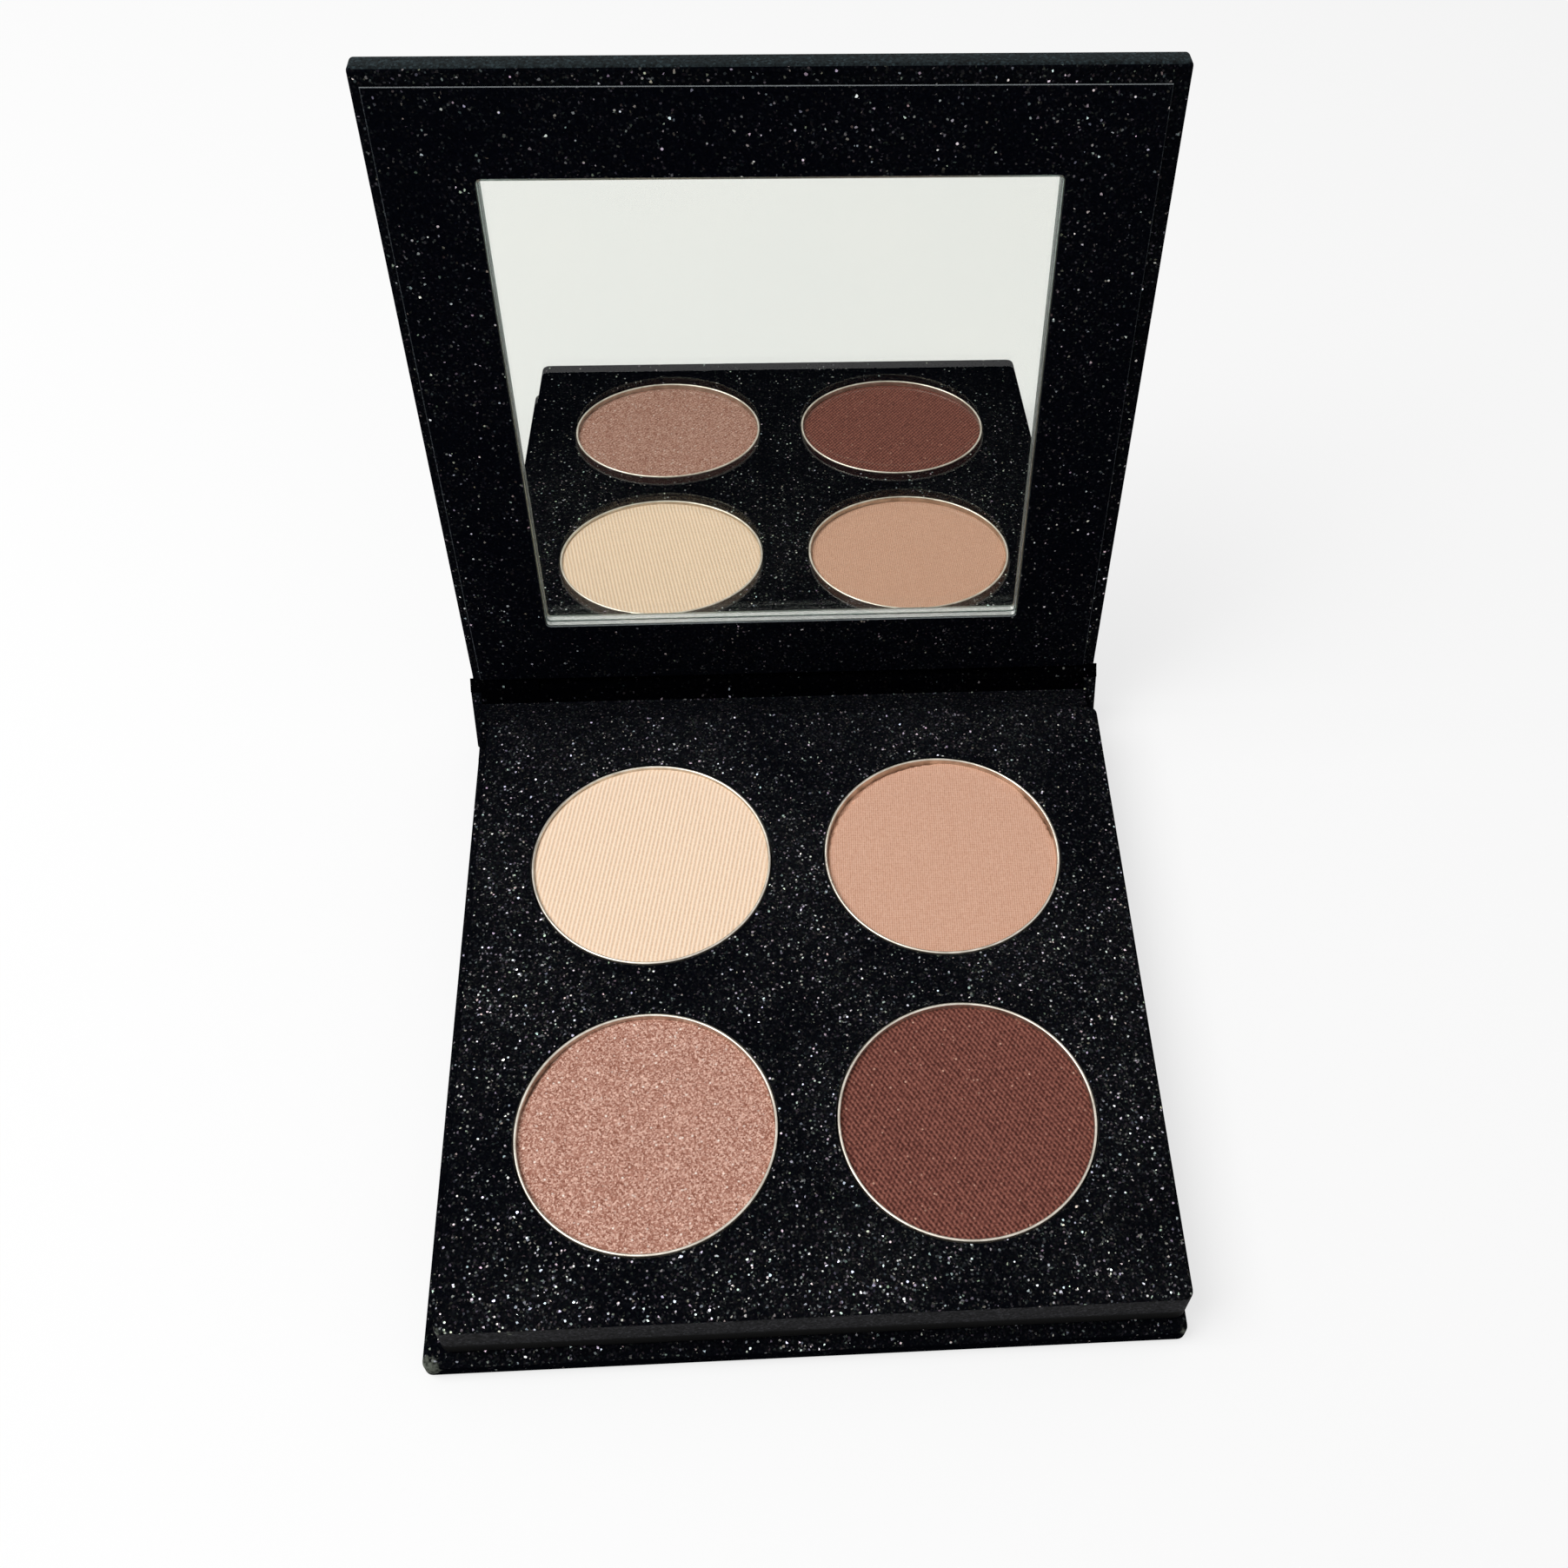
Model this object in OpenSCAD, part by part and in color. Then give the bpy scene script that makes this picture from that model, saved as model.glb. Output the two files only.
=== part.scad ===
// Book-style cardboard palette with four round powder pans and a mirror in the lid.
// Millimetres. The origin is the middle of the base's underside, +Z is up, the front
// edge faces -Y and the hinge is at +Y. The lid stands open.

/* [Case] */
// Width of the wrapped base and lid
case_w = 73; // [66:0.5:90]
// Depth of the wrapped base, front edge to hinge edge
base_d = 73; // [68:0.5:90]
// How far the closed lid stops short of the base's hinge edge
lid_setback = 1.1; // [0.8:0.1:1.6]
// Thickness of the base's greyboard
base_board_t = 2; // [1.8:0.1:3]
// Thickness of the glitter paper
paper_t = 0.2; // [0.15:0.05:0.3]
// Film of glue between two layers
glue_t = 0.02; // [0.01:0.01:0.04]
// Rounding of the base's and the spine's edges
edge_r = 0.8; // [0.5:0.1:0.9]
// Rounding of the base's and the tray's corners, seen from above
corner_r = 1; // [0.9:0.1:3]
// Width of the paper turned in over a board's inner face
turn_in = 8; // [5:0.5:9]

/* [Tray] */
// Ledge of the base left free on each side of the tray
tray_side_inset = 1; // [0.8:0.1:3]
// Ledge of the base left free in front of the tray
tray_front_inset = 1.3; // [0.6:0.1:3]
// Distance from the tray to the base's hinge edge
tray_rear_inset = 0.1; // [0:0.1:1]
// Sideways offset of the tray on the base
tray_shift_x = 0.8; // [-0.8:0.1:0.8]
// Thickness of each of the tray's two die-cut boards
tray_board_t = 2.2; // [1.8:0.1:3]
// Thickness of the card under the tray's boards
tray_floor_t = 0.6; // [0.4:0.1:1]
// Rounding of the tray's edges, above and below
tray_edge_r = 0.5; // [0.3:0.1:0.9]

/* [Pans] */
// Outer diameter of a pan
pan_d = 26; // [22:0.5:27]
// Distance between the middles of two neighbouring pans
pan_pitch = 31.9; // [29:0.1:33]
// Wall thickness of a pan
pan_wall = 0.3; // [0.2:0.05:0.5]
// Rounding under a pan
pan_foot_r = 0.8; // [0.5:0.1:1.2]
// Height of a pan's rim over the tray
rim_proud = 0.12; // [0:0.02:0.2]
// Gap all round between a pan and its well
well_clearance = 0.15; // [0.1:0.05:0.3]
// Sideways offset of the wells in the tray
wells_shift_x = -0.3; // [-0.5:0.1:0.5]
// Offset of the wells towards the hinge
wells_shift_y = -0.35; // [-0.5:0.05:0.5]
// Depth of the powder's top under the rim
powder_recess = 0.6; // [0.3:0.1:1.5]
// The same depth in the fuller pan of cream
cream_recess = 0.3; // [0.1:0.1:1.5]
// Gap between the powder and the pan
powder_clearance = 0.02; // [0.01:0.01:0.05]
// Diameter of the tape disc under a pan
pan_tape_d = 18; // [10:1:20]
// Thickness of the tape disc under a pan
pan_tape_t = 0.2; // [0.1:0.05:0.5]

/* [Lid] */
// Rounding of the lid's edges
lid_edge_r = 0.4; // [0.3:0.05:0.9]
// Rounding of the lid's corners, seen from above
lid_corner_r = 0.45; // [0.4:0.05:3]
// Thickness of the board behind the mirror
lid_back_t = 0.6; // [0.5:0.1:1.5]
// Gap between the closed lid and the tray
closed_gap = 0.3; // [0.25:0.05:0.6]
// Border of wrap left free beside the liner
liner_side_inset = 1.1; // [0.9:0.1:3]
// Border of wrap left free in front of the liner
liner_front_inset = 1.4; // [0.9:0.1:3]
// Sideways offset of the liner
liner_shift_x = -0.2; // [-0.4:0.1:0.4]

/* [Mirror] */
// Border of the lid on each side of the mirror
mirror_side_border = 9.8; // [9:0.1:14]
// Border of the lid between the mirror and the opening edge
mirror_front_border = 9.9; // [9.5:0.1:14]
// Border of the lid between the mirror and the hinge
mirror_hinge_border = 8.1; // [7:0.1:12]
// Thickness of the mirror's glass
mirror_t = 1.5; // [1:0.1:2]
// Rounding of the mirror's corners
mirror_corner_r = 0.5; // [0.3:0.1:4]
// Sideways offset of the mirror
mirror_shift_x = -0.3; // [-0.4:0.1:0.4]
// Thickness of the silver and its protective paint
mirror_backing_t = 0.05; // [0.04:0.01:0.1]
// Thickness of the tape behind the mirror
mirror_tape_t = 0.15; // [0.1:0.05:0.3]
// Margin between the tape's edge and the mirror's edge
mirror_tape_margin = 3; // [1:0.5:8]
// Gap all round between the mirror and its window
mirror_clearance = 0.1; // [0.05:0.05:0.2]
// Depth of the glass under the liner's face
mirror_recess = 0.06; // [0.02:0.02:0.2]

/* [Magnets] */
// Diameter of a magnet and of its steel disc
magnet_d = 6; // [4:0.5:6.5]
// Thickness of a magnet
magnet_t = 1.2; // [0.8:0.1:1.2]
// Thickness of a steel disc
keeper_t = 1; // [0.5:0.1:1.5]
// Distance from the front edge to a magnet's middle
magnet_from_front = 6; // [5.5:0.1:6.5]
// Distance from the lid's side to a magnet's middle
magnet_from_side = 6.5; // [6.2:0.1:7]
// Gap round a magnet or a disc in its pocket
magnet_clearance = 0.1; // [0.05:0.05:0.2]

/* [Hinge] */
// Thickness of the spine's greyboard
spine_board_t = 2; // [1.5:0.1:2.2]
// Height of the spine's lower edge when closed
spine_foot = 1.2; // [1:0.1:2]
// Height of the spine's upper edge over the tray when closed
spine_rise = 0.6; // [0:0.1:0.8]
// Gap between the base's hinge edge and the closed spine
spine_gap = 0.9; // [0.6:0.1:1.2]
// Extra width of the spine on each side
hinge_overhang = 0.4; // [0:0.1:0.8]
// Distance from the base's hinge edge back to the lower crease
lower_crease_back = 1.6; // [1.3:0.1:2]
// Height of the lower crease
lower_crease_z = 1.4; // [1.2:0.1:2]
// Distance from the base's hinge edge back to the closed upper crease
upper_crease_back = 1.3; // [1.1:0.1:1.8]
// Depth of the closed upper crease under the tray's top
upper_crease_drop = 0.4; // [0:0.1:1]

/* [Pose] */
// Angle between the closed and the open lid
open_angle = 96.2; // [80:0.1:120]
// Angle that the spine leans back when the lid is open
lean_angle = 24; // [15:0.5:32]

/* [Hidden] */
$fn = 64;

glitter_black = [0.04, 0.04, 0.05];
greyboard = [0.55, 0.53, 0.50];
tinplate = [0.80, 0.79, 0.76];
eps = 0.01;

// One layer of paper with its glue, and a board with paper on both faces
skin = paper_t + glue_t;
base_t = base_board_t + 2 * skin;
rear_y = base_d / 2;
front_y = -base_d / 2;

// Tray
tray_w = case_w - 2 * tray_side_inset;
tray_d = base_d - tray_front_inset - tray_rear_inset;
tray_rear_y = rear_y - tray_rear_inset;
tray_z = base_t + glue_t;
floor_z = tray_z + skin;
lower_z = floor_z + tray_floor_t + glue_t;
upper_z = lower_z + tray_board_t + glue_t;
tray_top_z = upper_z + tray_board_t + skin;
tray_h = tray_top_z - tray_z;

// Pans
wells_x = tray_shift_x + wells_shift_x;
wells_y = tray_rear_y - tray_d / 2 + wells_shift_y;
pan_z = floor_z + tray_floor_t + pan_tape_t;
pan_h = tray_top_z + rim_proud - pan_z;
well_d = pan_d + 2 * well_clearance;
powder_d = pan_d - 2 * (pan_wall + powder_clearance);
powder_room = pan_h - pan_wall - powder_clearance;

// Lid, lying closed in its own frame: hinge edge at y = 0, inner face at z = 0
lid_d = base_d - lid_setback;
mirror_w = case_w - 2 * mirror_side_border;
mirror_h = lid_d - mirror_front_border - mirror_hinge_border;
lid_wrap_z = skin;
lid_frame_z = lid_wrap_z + skin;
glass_z = mirror_recess;
backing_z = glass_z + mirror_t;
mirror_tape_z = backing_z + mirror_backing_t;
lid_back_z = mirror_tape_z + mirror_tape_t;
lid_frame_t = lid_back_z - glue_t - lid_frame_z;
lid_t = lid_back_z + lid_back_t + skin;
lid_closed_z = tray_top_z + closed_gap;
window_w = mirror_w + 2 * mirror_clearance;
window_h = mirror_h + 2 * mirror_clearance;
window_r = mirror_corner_r + mirror_clearance;
mirror_y = -mirror_hinge_border - mirror_h / 2;
liner_w = case_w - 2 * liner_side_inset;
magnet_x = case_w / 2 - magnet_from_side;

// Hinge
spine_w = case_w + 2 * hinge_overhang;
spine_t = spine_board_t + 2 * skin;
spine_y = rear_y + spine_gap;
spine_top_z = tray_top_z + spine_rise;
spine_h = spine_top_z - spine_foot;
lower_crease = [rear_y + lower_crease_back, lower_crease_z];
upper_crease = [rear_y + upper_crease_back, tray_top_z - upper_crease_drop];
fold_angle = open_angle - lean_angle;
crease_steps = 14;
crease_gap = 0.06;
bent_end_gap = crease_gap + paper_t / 2;
// How far down the spine's face the liner's fold is drawn, and how far the outer paper bulges
liner_sag = 2.2;
crease_bulge = 2.8;

// Turns a point of the Y-Z plane about a pivot, in the way that the lid opens
function turned(p, pivot, a) = [
    pivot[0] + (p[0] - pivot[0]) * cos(a) + (p[1] - pivot[1]) * sin(a),
    pivot[1] - (p[0] - pivot[0]) * sin(a) + (p[1] - pivot[1]) * cos(a)
];

// Where a point of the closed spine, or of the closed lid, lies when the lid is open
function on_open_spine(p) = turned(p, lower_crease, lean_angle);
function on_open_lid(p) = on_open_spine(turned(p, upper_crease, fold_angle));

// A point of a curve from a to b that leans towards c
function bow(a, c, b, t) = (1 - t) * (1 - t) * a + 2 * t * (1 - t) * c + t * t * b;
function bow_slope(a, c, b, t) = 2 * (1 - t) * (c - a) + 2 * t * (b - c);
function side_of(v) = [-v[1], v[0]] / norm(v);

// The sheet's cross-section along such a curve
function sheet_outline(a, c, b, t) = concat(
    [for (i = [0:crease_steps])
        let (s = i / crease_steps)
        bow(a, c, b, s) + side_of(bow_slope(a, c, b, s)) * t / 2],
    [for (i = [crease_steps:-1:0])
        let (s = i / crease_steps)
        bow(a, c, b, s) - side_of(bow_slope(a, c, b, s)) * t / 2]
);

// Rectangle from the origin, with its four corners rounded
module soft_rect(w, h, r) {
    translate([r, 0]) square([w - 2 * r, h]);
    translate([0, r]) square([w, h - 2 * r]);
    for (x = [r, w - r], y = [r, h - r]) translate([x, y]) circle(r);
}

// Extrudes a cross-section drawn in X-Z towards -Y
module along_y(length) {
    rotate([90, 0, 0]) linear_extrude(length) children();
}

// Extrudes a cross-section drawn in Y-Z along X, centred
module along_x(length) {
    translate([-length / 2, 0, 0]) rotate([90, 0, 90]) linear_extrude(length) children();
}

// Board or wrap with soft sides and front; its hinge edge, at y = 0, is cut square
module soft_slab(w, d, t, edge, corner) {
    intersection() {
        translate([-w / 2, 0, 0]) along_y(d) soft_rect(w, t, edge);
        along_x(w) intersection() {
            translate([-d, 0]) soft_rect(2 * d, t, edge);
            translate([-d - eps, -eps]) square([d + eps, t + 2 * eps]);
        }
        translate([-w / 2, -d, -eps]) linear_extrude(t + 2 * eps) intersection() {
            soft_rect(w, 2 * d, corner);
            square([w, d]);
        }
    }
}

// What a wrap holds, less the glue
module slab_core(w, d, t, edge, corner) {
    translate([0, 0, skin])
        soft_slab(w - 2 * skin, d - skin, t - 2 * skin, edge - skin, corner - skin);
}

// The hollow that the paper leaves for its board
module slab_hollow(w, d, t, edge, corner) {
    translate([0, eps, paper_t])
        soft_slab(w - 2 * paper_t, d - paper_t + eps, t - 2 * paper_t, edge - paper_t,
            corner - paper_t);
}

// The opening between the turned-in flaps, which runs out at the hinge edge
module flap_opening(w, d, z, t) {
    translate([turn_in - w / 2, turn_in - d, z - eps])
        cube([w - 2 * turn_in, d - turn_in + eps, t + 2 * eps]);
}

module base_board() {
    color(greyboard) translate([0, rear_y, 0]) slab_core(case_w, base_d, base_t, edge_r, corner_r);
}

module base_wrap() {
    color(glitter_black) translate([0, rear_y, 0]) difference() {
        soft_slab(case_w, base_d, base_t, edge_r, corner_r);
        slab_hollow(case_w, base_d, base_t, edge_r, corner_r);
        flap_opening(case_w, base_d, base_t - paper_t, paper_t);
    }
}

// The tray's outline, drawn in by a margin on every side but its underside
module tray_block(margin, drop) {
    w = tray_w - 2 * margin;
    d = tray_d - 2 * margin;
    h = tray_h - margin - drop;
    r = tray_edge_r - margin;
    plan_r = corner_r - margin;
    translate([tray_shift_x, tray_rear_y - margin, tray_z + drop]) intersection() {
        translate([-w / 2, 0, 0]) along_y(d) soft_rect(w, h, r);
        along_x(w) translate([-d, 0]) soft_rect(d, h, r);
        translate([-w / 2, -d, -eps]) linear_extrude(h + 2 * eps) soft_rect(w, d, plan_r);
    }
}

// Places its children at each of the four wells, or at one of them
module at_well(column, row) {
    translate([wells_x + column * pan_pitch / 2, wells_y + row * pan_pitch / 2, 0]) children();
}

module at_wells() {
    for (column = [-1, 1], row = [-1, 1]) at_well(column, row) children();
}

// Everything between two heights
module flat_slice(z, t) {
    translate([-case_w, -2 * base_d, z]) cube([2 * case_w, 4 * base_d, t]);
}

// One flat layer of what the tray's paper holds
module tray_layer(z, t) {
    intersection() {
        tray_block(skin, skin);
        flat_slice(z, t);
    }
}

module wells(z, h) {
    at_wells() translate([0, 0, z - eps]) cylinder(d = well_d, h = h + 2 * eps);
}

module at_magnets(z) {
    for (side = [-1, 1])
        translate([side * magnet_x, front_y + magnet_from_front, z]) children();
}

module magnet_pockets(z, h) {
    at_magnets(z) cylinder(d = magnet_d + 2 * magnet_clearance, h = h);
}

module tray_floor_card() {
    color(greyboard) tray_layer(floor_z, tray_floor_t);
}

module tray_lower_board() {
    color(greyboard) difference() {
        tray_layer(lower_z, tray_board_t);
        wells(lower_z, tray_board_t);
    }
}

module tray_upper_board() {
    top = upper_z + tray_board_t;
    depth = keeper_t + 2 * glue_t;
    color(greyboard) difference() {
        tray_layer(upper_z, tray_board_t);
        wells(upper_z, tray_board_t);
        magnet_pockets(top - depth, depth + eps);
    }
}

module tray_keeper_discs() {
    color("gray") at_magnets(upper_z + tray_board_t - glue_t - keeper_t)
        cylinder(d = magnet_d, h = keeper_t);
}

module tray_wrap() {
    color(glitter_black) difference() {
        tray_block(0, 0);
        tray_block(paper_t, paper_t);
        wells(tray_top_z - skin, skin);
        translate([tray_shift_x - tray_w / 2 + turn_in, tray_rear_y - tray_d + turn_in, tray_z - eps])
            cube([tray_w - 2 * turn_in, tray_d - 2 * turn_in, paper_t + 2 * eps]);
    }
}

module pan_tape_discs() {
    color("ivory") at_wells() translate([0, 0, pan_z - pan_tape_t])
        cylinder(d = pan_tape_d, h = pan_tape_t);
}

// Solid of revolution that is rounded at its foot
module footed_disc(d, h, foot_r) {
    rotate_extrude() {
        square([d / 2 - foot_r, h]);
        translate([0, foot_r]) square([d / 2, h - foot_r]);
        intersection() {
            translate([d / 2 - foot_r, foot_r]) circle(foot_r);
            square([d / 2, h]);
        }
    }
}

module pan() {
    color(tinplate) translate([0, 0, pan_z]) difference() {
        footed_disc(pan_d, pan_h, pan_foot_r);
        translate([0, 0, pan_wall])
            footed_disc(pan_d - 2 * pan_wall, pan_h, pan_foot_r - pan_wall);
    }
}

// A cake that ends so far below its pan's rim
module powder(recess) {
    translate([0, 0, pan_z + pan_wall + powder_clearance])
        footed_disc(powder_d, powder_room - recess, pan_foot_r - pan_wall);
}

module pan_back_left() {
    at_well(-1, 1) pan();
}

module pan_back_right() {
    at_well(1, 1) pan();
}

module pan_front_left() {
    at_well(-1, -1) pan();
}

module pan_front_right() {
    at_well(1, -1) pan();
}

module powder_cream() {
    color([0.98, 0.86, 0.73]) at_well(-1, 1) powder(cream_recess);
}

module powder_tan() {
    color([0.85, 0.66, 0.54]) at_well(1, 1) powder(powder_recess);
}

module powder_mauve() {
    color([0.69, 0.48, 0.41]) at_well(-1, -1) powder(powder_recess);
}

module powder_maroon() {
    color([0.42, 0.23, 0.20]) at_well(1, -1) powder(powder_recess);
}

// Sheet of paper whose middle line runs from a to b, leaning towards c, as wide as w
module crease_sheet(a, c, b, t, w) {
    along_x(w) polygon(sheet_outline(a, c, b, t));
}

// Where the liner's two bends meet, just inside the closed spine's top inner edge
liner_meet = [spine_y - crease_gap - paper_t / 2, spine_top_z + crease_gap];

// The liner from the tray's rear edge into the gutter and up the spine's inner face
module liner_tray_crease() {
    start = [tray_rear_y + bent_end_gap, tray_top_z - paper_t / 2];
    end = on_open_spine(liner_meet);
    color(glitter_black) translate([liner_shift_x, 0, 0])
        crease_sheet(start, end - liner_sag * [tan(lean_angle), 1], end, paper_t, liner_w);
}

// The liner from the top of the spine to the lid's inner face
module liner_lid_crease() {
    start = on_open_spine(liner_meet + [0, bent_end_gap]);
    end = on_open_lid([rear_y - lid_setback + bent_end_gap, lid_closed_z + paper_t / 2]);
    color(glitter_black) translate([liner_shift_x, 0, 0])
        crease_sheet(start, (start + end) / 2 + [0, crease_gap], end, paper_t, liner_w);
}

// The outer paper from the base's underside to the spine's outer face
module lower_crease_paper() {
    start = [rear_y + crease_gap, paper_t / 2];
    end = on_open_spine([spine_y + spine_t - paper_t / 2, spine_foot - crease_gap]);
    bend = [end[0] - (end[1] - start[1]) * tan(lean_angle), start[1]];
    color(glitter_black) crease_sheet(start, bend, end, paper_t, spine_w);
}

// The outer paper from the spine's outer face to the lid's outer face
module upper_crease_paper() {
    start = on_open_spine([spine_y + spine_t - paper_t / 2, spine_top_z + bent_end_gap]);
    end = on_open_lid([rear_y - lid_setback + bent_end_gap, lid_closed_z + lid_t - paper_t / 2]);
    out = -side_of(end - start);
    color(glitter_black)
        crease_sheet(start, (start + end) / 2 + out * crease_bulge, end, paper_t, spine_w);
}

// Turns a closed spine back to where it stands when the lid is open
module open_spine() {
    translate([0, lower_crease[0], lower_crease[1]]) rotate([-lean_angle, 0, 0])
        translate([0, -lower_crease[0], -lower_crease[1]]) children();
}

// Turns a closed lid, drawn in its own frame, to where it stands when open
module open_lid() {
    open_spine() translate([0, upper_crease[0], upper_crease[1]]) rotate([-fold_angle, 0, 0])
        translate([0, rear_y - lid_setback - upper_crease[0], lid_closed_z - upper_crease[1]])
            children();
}

// The closed spine's outline seen from above, drawn in by a margin
module spine_outline(margin) {
    translate([margin - spine_w / 2, spine_y + margin])
        soft_rect(spine_w - 2 * margin, spine_t - 2 * margin, edge_r - margin);
}

module spine_board() {
    color(greyboard) open_spine() translate([0, 0, spine_foot])
        linear_extrude(spine_h) spine_outline(skin);
}

module spine_wrap() {
    color(glitter_black) open_spine() translate([0, 0, spine_foot]) linear_extrude(spine_h)
        difference() {
            spine_outline(0);
            spine_outline(paper_t);
            translate([turn_in - spine_w / 2, spine_y - eps])
                square([spine_w - 2 * turn_in, paper_t + 2 * eps]);
        }
}

// Mirror-shaped outline in the lid's own frame, grown by a margin
module mirror_plate(margin, r, z, t) {
    translate([mirror_shift_x - mirror_w / 2 - margin, mirror_y - mirror_h / 2 - margin, z])
        linear_extrude(t) soft_rect(mirror_w + 2 * margin, mirror_h + 2 * margin, r);
}

// What the lid's paper holds, cut to one flat layer
module lid_layer(z, t) {
    intersection() {
        translate([0, 0, lid_wrap_z])
            slab_core(case_w, lid_d, lid_t - lid_wrap_z, lid_edge_r, lid_corner_r);
        flat_slice(z, t);
    }
}

module at_lid_magnets(z) {
    for (side = [-1, 1])
        translate([side * magnet_x, magnet_from_front - lid_d, z]) children();
}

module lid_back_board() {
    color(greyboard) open_lid() lid_layer(lid_back_z, lid_back_t);
}

module lid_frame_board() {
    color(greyboard) open_lid() difference() {
        lid_layer(lid_frame_z, lid_frame_t);
        mirror_plate(mirror_clearance, window_r, lid_frame_z - eps, lid_frame_t + 2 * eps);
        at_lid_magnets(lid_frame_z - eps)
            cylinder(d = magnet_d + 2 * magnet_clearance, h = lid_frame_t + 2 * eps);
    }
}

module lid_wrap() {
    t = lid_t - lid_wrap_z;
    color(glitter_black) open_lid() translate([0, 0, lid_wrap_z]) difference() {
        soft_slab(case_w, lid_d, t, lid_edge_r, lid_corner_r);
        slab_hollow(case_w, lid_d, t, lid_edge_r, lid_corner_r);
        flap_opening(case_w, lid_d, 0, paper_t);
    }
}

module lid_liner() {
    color(glitter_black) open_lid() difference() {
        translate([liner_shift_x - liner_w / 2, liner_front_inset - lid_d, 0])
            cube([liner_w, lid_d - liner_front_inset, paper_t]);
        mirror_plate(mirror_clearance, window_r, -eps, paper_t + 2 * eps);
    }
}

module mirror_glass() {
    color([0.75, 0.82, 0.82]) open_lid() mirror_plate(0, mirror_corner_r, glass_z, mirror_t);
}

module mirror_backing() {
    color("silver") open_lid() mirror_plate(0, mirror_corner_r, backing_z, mirror_backing_t);
}

module mirror_tape() {
    color("ivory") open_lid()
        mirror_plate(-mirror_tape_margin, mirror_corner_r, mirror_tape_z, mirror_tape_t);
}

module lid_magnets() {
    color("gray") open_lid() at_lid_magnets(lid_back_z - glue_t - magnet_t)
        cylinder(d = magnet_d, h = magnet_t);
}

base_board();
base_wrap();
tray_floor_card();
tray_lower_board();
tray_upper_board();
tray_wrap();
tray_keeper_discs();
pan_tape_discs();
pan_back_left();
pan_back_right();
pan_front_left();
pan_front_right();
powder_cream();
powder_tan();
powder_mauve();
powder_maroon();
liner_tray_crease();
lower_crease_paper();
spine_board();
spine_wrap();
liner_lid_crease();
upper_crease_paper();
lid_back_board();
lid_frame_board();
lid_wrap();
lid_liner();
mirror_glass();
mirror_backing();
mirror_tape();
lid_magnets();
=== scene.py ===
"""Dresses a book-style cardboard palette: paper, tin pans, pressed powders and the lid's mirror.

Lengths in the classes are millimetres in the part's own frame: +Z up out of the pans, -Y towards
the opening edge, +X to the user's right. Meshes are in metres.
"""

import logging
import math
from dataclasses import dataclass, field
from enum import Enum
from typing import Callable, Sequence, Union

import bmesh
import bpy
from mathutils import Matrix, Vector, noise


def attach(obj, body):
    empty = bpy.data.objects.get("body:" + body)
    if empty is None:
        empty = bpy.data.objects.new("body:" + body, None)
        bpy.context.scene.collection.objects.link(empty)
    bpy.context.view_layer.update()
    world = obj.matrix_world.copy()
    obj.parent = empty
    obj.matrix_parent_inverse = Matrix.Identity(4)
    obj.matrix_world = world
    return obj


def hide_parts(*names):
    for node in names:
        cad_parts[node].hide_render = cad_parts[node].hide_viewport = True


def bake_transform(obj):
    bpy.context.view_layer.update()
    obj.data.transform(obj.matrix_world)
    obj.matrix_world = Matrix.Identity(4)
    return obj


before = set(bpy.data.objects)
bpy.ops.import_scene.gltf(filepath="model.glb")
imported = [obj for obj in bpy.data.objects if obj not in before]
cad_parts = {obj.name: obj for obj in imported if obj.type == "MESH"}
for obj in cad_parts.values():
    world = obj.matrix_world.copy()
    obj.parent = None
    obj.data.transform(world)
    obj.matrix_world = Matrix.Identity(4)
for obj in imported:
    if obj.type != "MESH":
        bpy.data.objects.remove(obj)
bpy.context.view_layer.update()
LOG = logging.getLogger("palette")

MM = 0.001
# Two places nearer than this are one
TINY = 0.02 * MM
# A face looks along an axis when its normal does at least this far
SQUARE_ON = 0.9
# How far an opening's cutter reaches past an open end, in millimetres
PAST = 1.0

Point2 = tuple[float, float]
Point3 = tuple[float, float, float]
Node = bpy.types.Node
Socket = bpy.types.NodeSocket
Tree = bpy.types.NodeTree
Object = bpy.types.Object
Material = bpy.types.Material
Inputs = Union[dict[object, object], Sequence[object]]


# --- Places of the open lid ---------------------------------------------------------------------

PAPER_T = 0.2
LOWER_CREASE: Point2 = (38.1, 1.4)
UPPER_CREASE: Point2 = (37.8, 7.54)
LEAN_DEG = 24.0
FOLD_DEG = 72.2
LID_HINGE: Point2 = (35.4, 8.24)
LID_T = 2.58


def at(*place: float) -> Vector:
    """Turns a place in millimetres into one in metres."""
    return Vector(place) * MM


def turn_about(pivot: Point2, degrees: float) -> Matrix:
    """Makes the turn about an X-wise crease, in the way that the lid opens.

    Args:
        pivot: the crease's y and z in millimetres.
        degrees: how far it opens.

    Returns:
        A matrix that acts on points in metres.
    """
    shift = Matrix.Translation(at(0, *pivot))
    return shift @ Matrix.Rotation(-math.radians(degrees), 4, "X") @ shift.inverted()


SPINE_PLACE = turn_about(LOWER_CREASE, LEAN_DEG)
LID_FOLD_PLACE = SPINE_PLACE @ turn_about(UPPER_CREASE, FOLD_DEG)
LID_PLACE = LID_FOLD_PLACE @ Matrix.Translation(at(0, *LID_HINGE))


def carried(place: Matrix, y: float, z: float) -> Point2:
    """Carries a point of the Y-Z plane with the spine or the lid, all in millimetres."""
    moved = place @ at(0, y, z)
    return moved.y / MM, moved.z / MM


# --- Modelling ----------------------------------------------------------------------------------


class Pick(Enum):
    """What an edit-mode selection is made of."""

    VERT = "VERT"
    EDGE = "EDGE"
    FACE = "FACE"


def start_clean() -> None:
    """Goes to object mode with nothing selected, so that an operator acts on nothing else."""
    if bpy.context.mode != "OBJECT":
        bpy.ops.object.mode_set(mode="OBJECT")
    bpy.ops.object.select_all(action="DESELECT")


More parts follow.
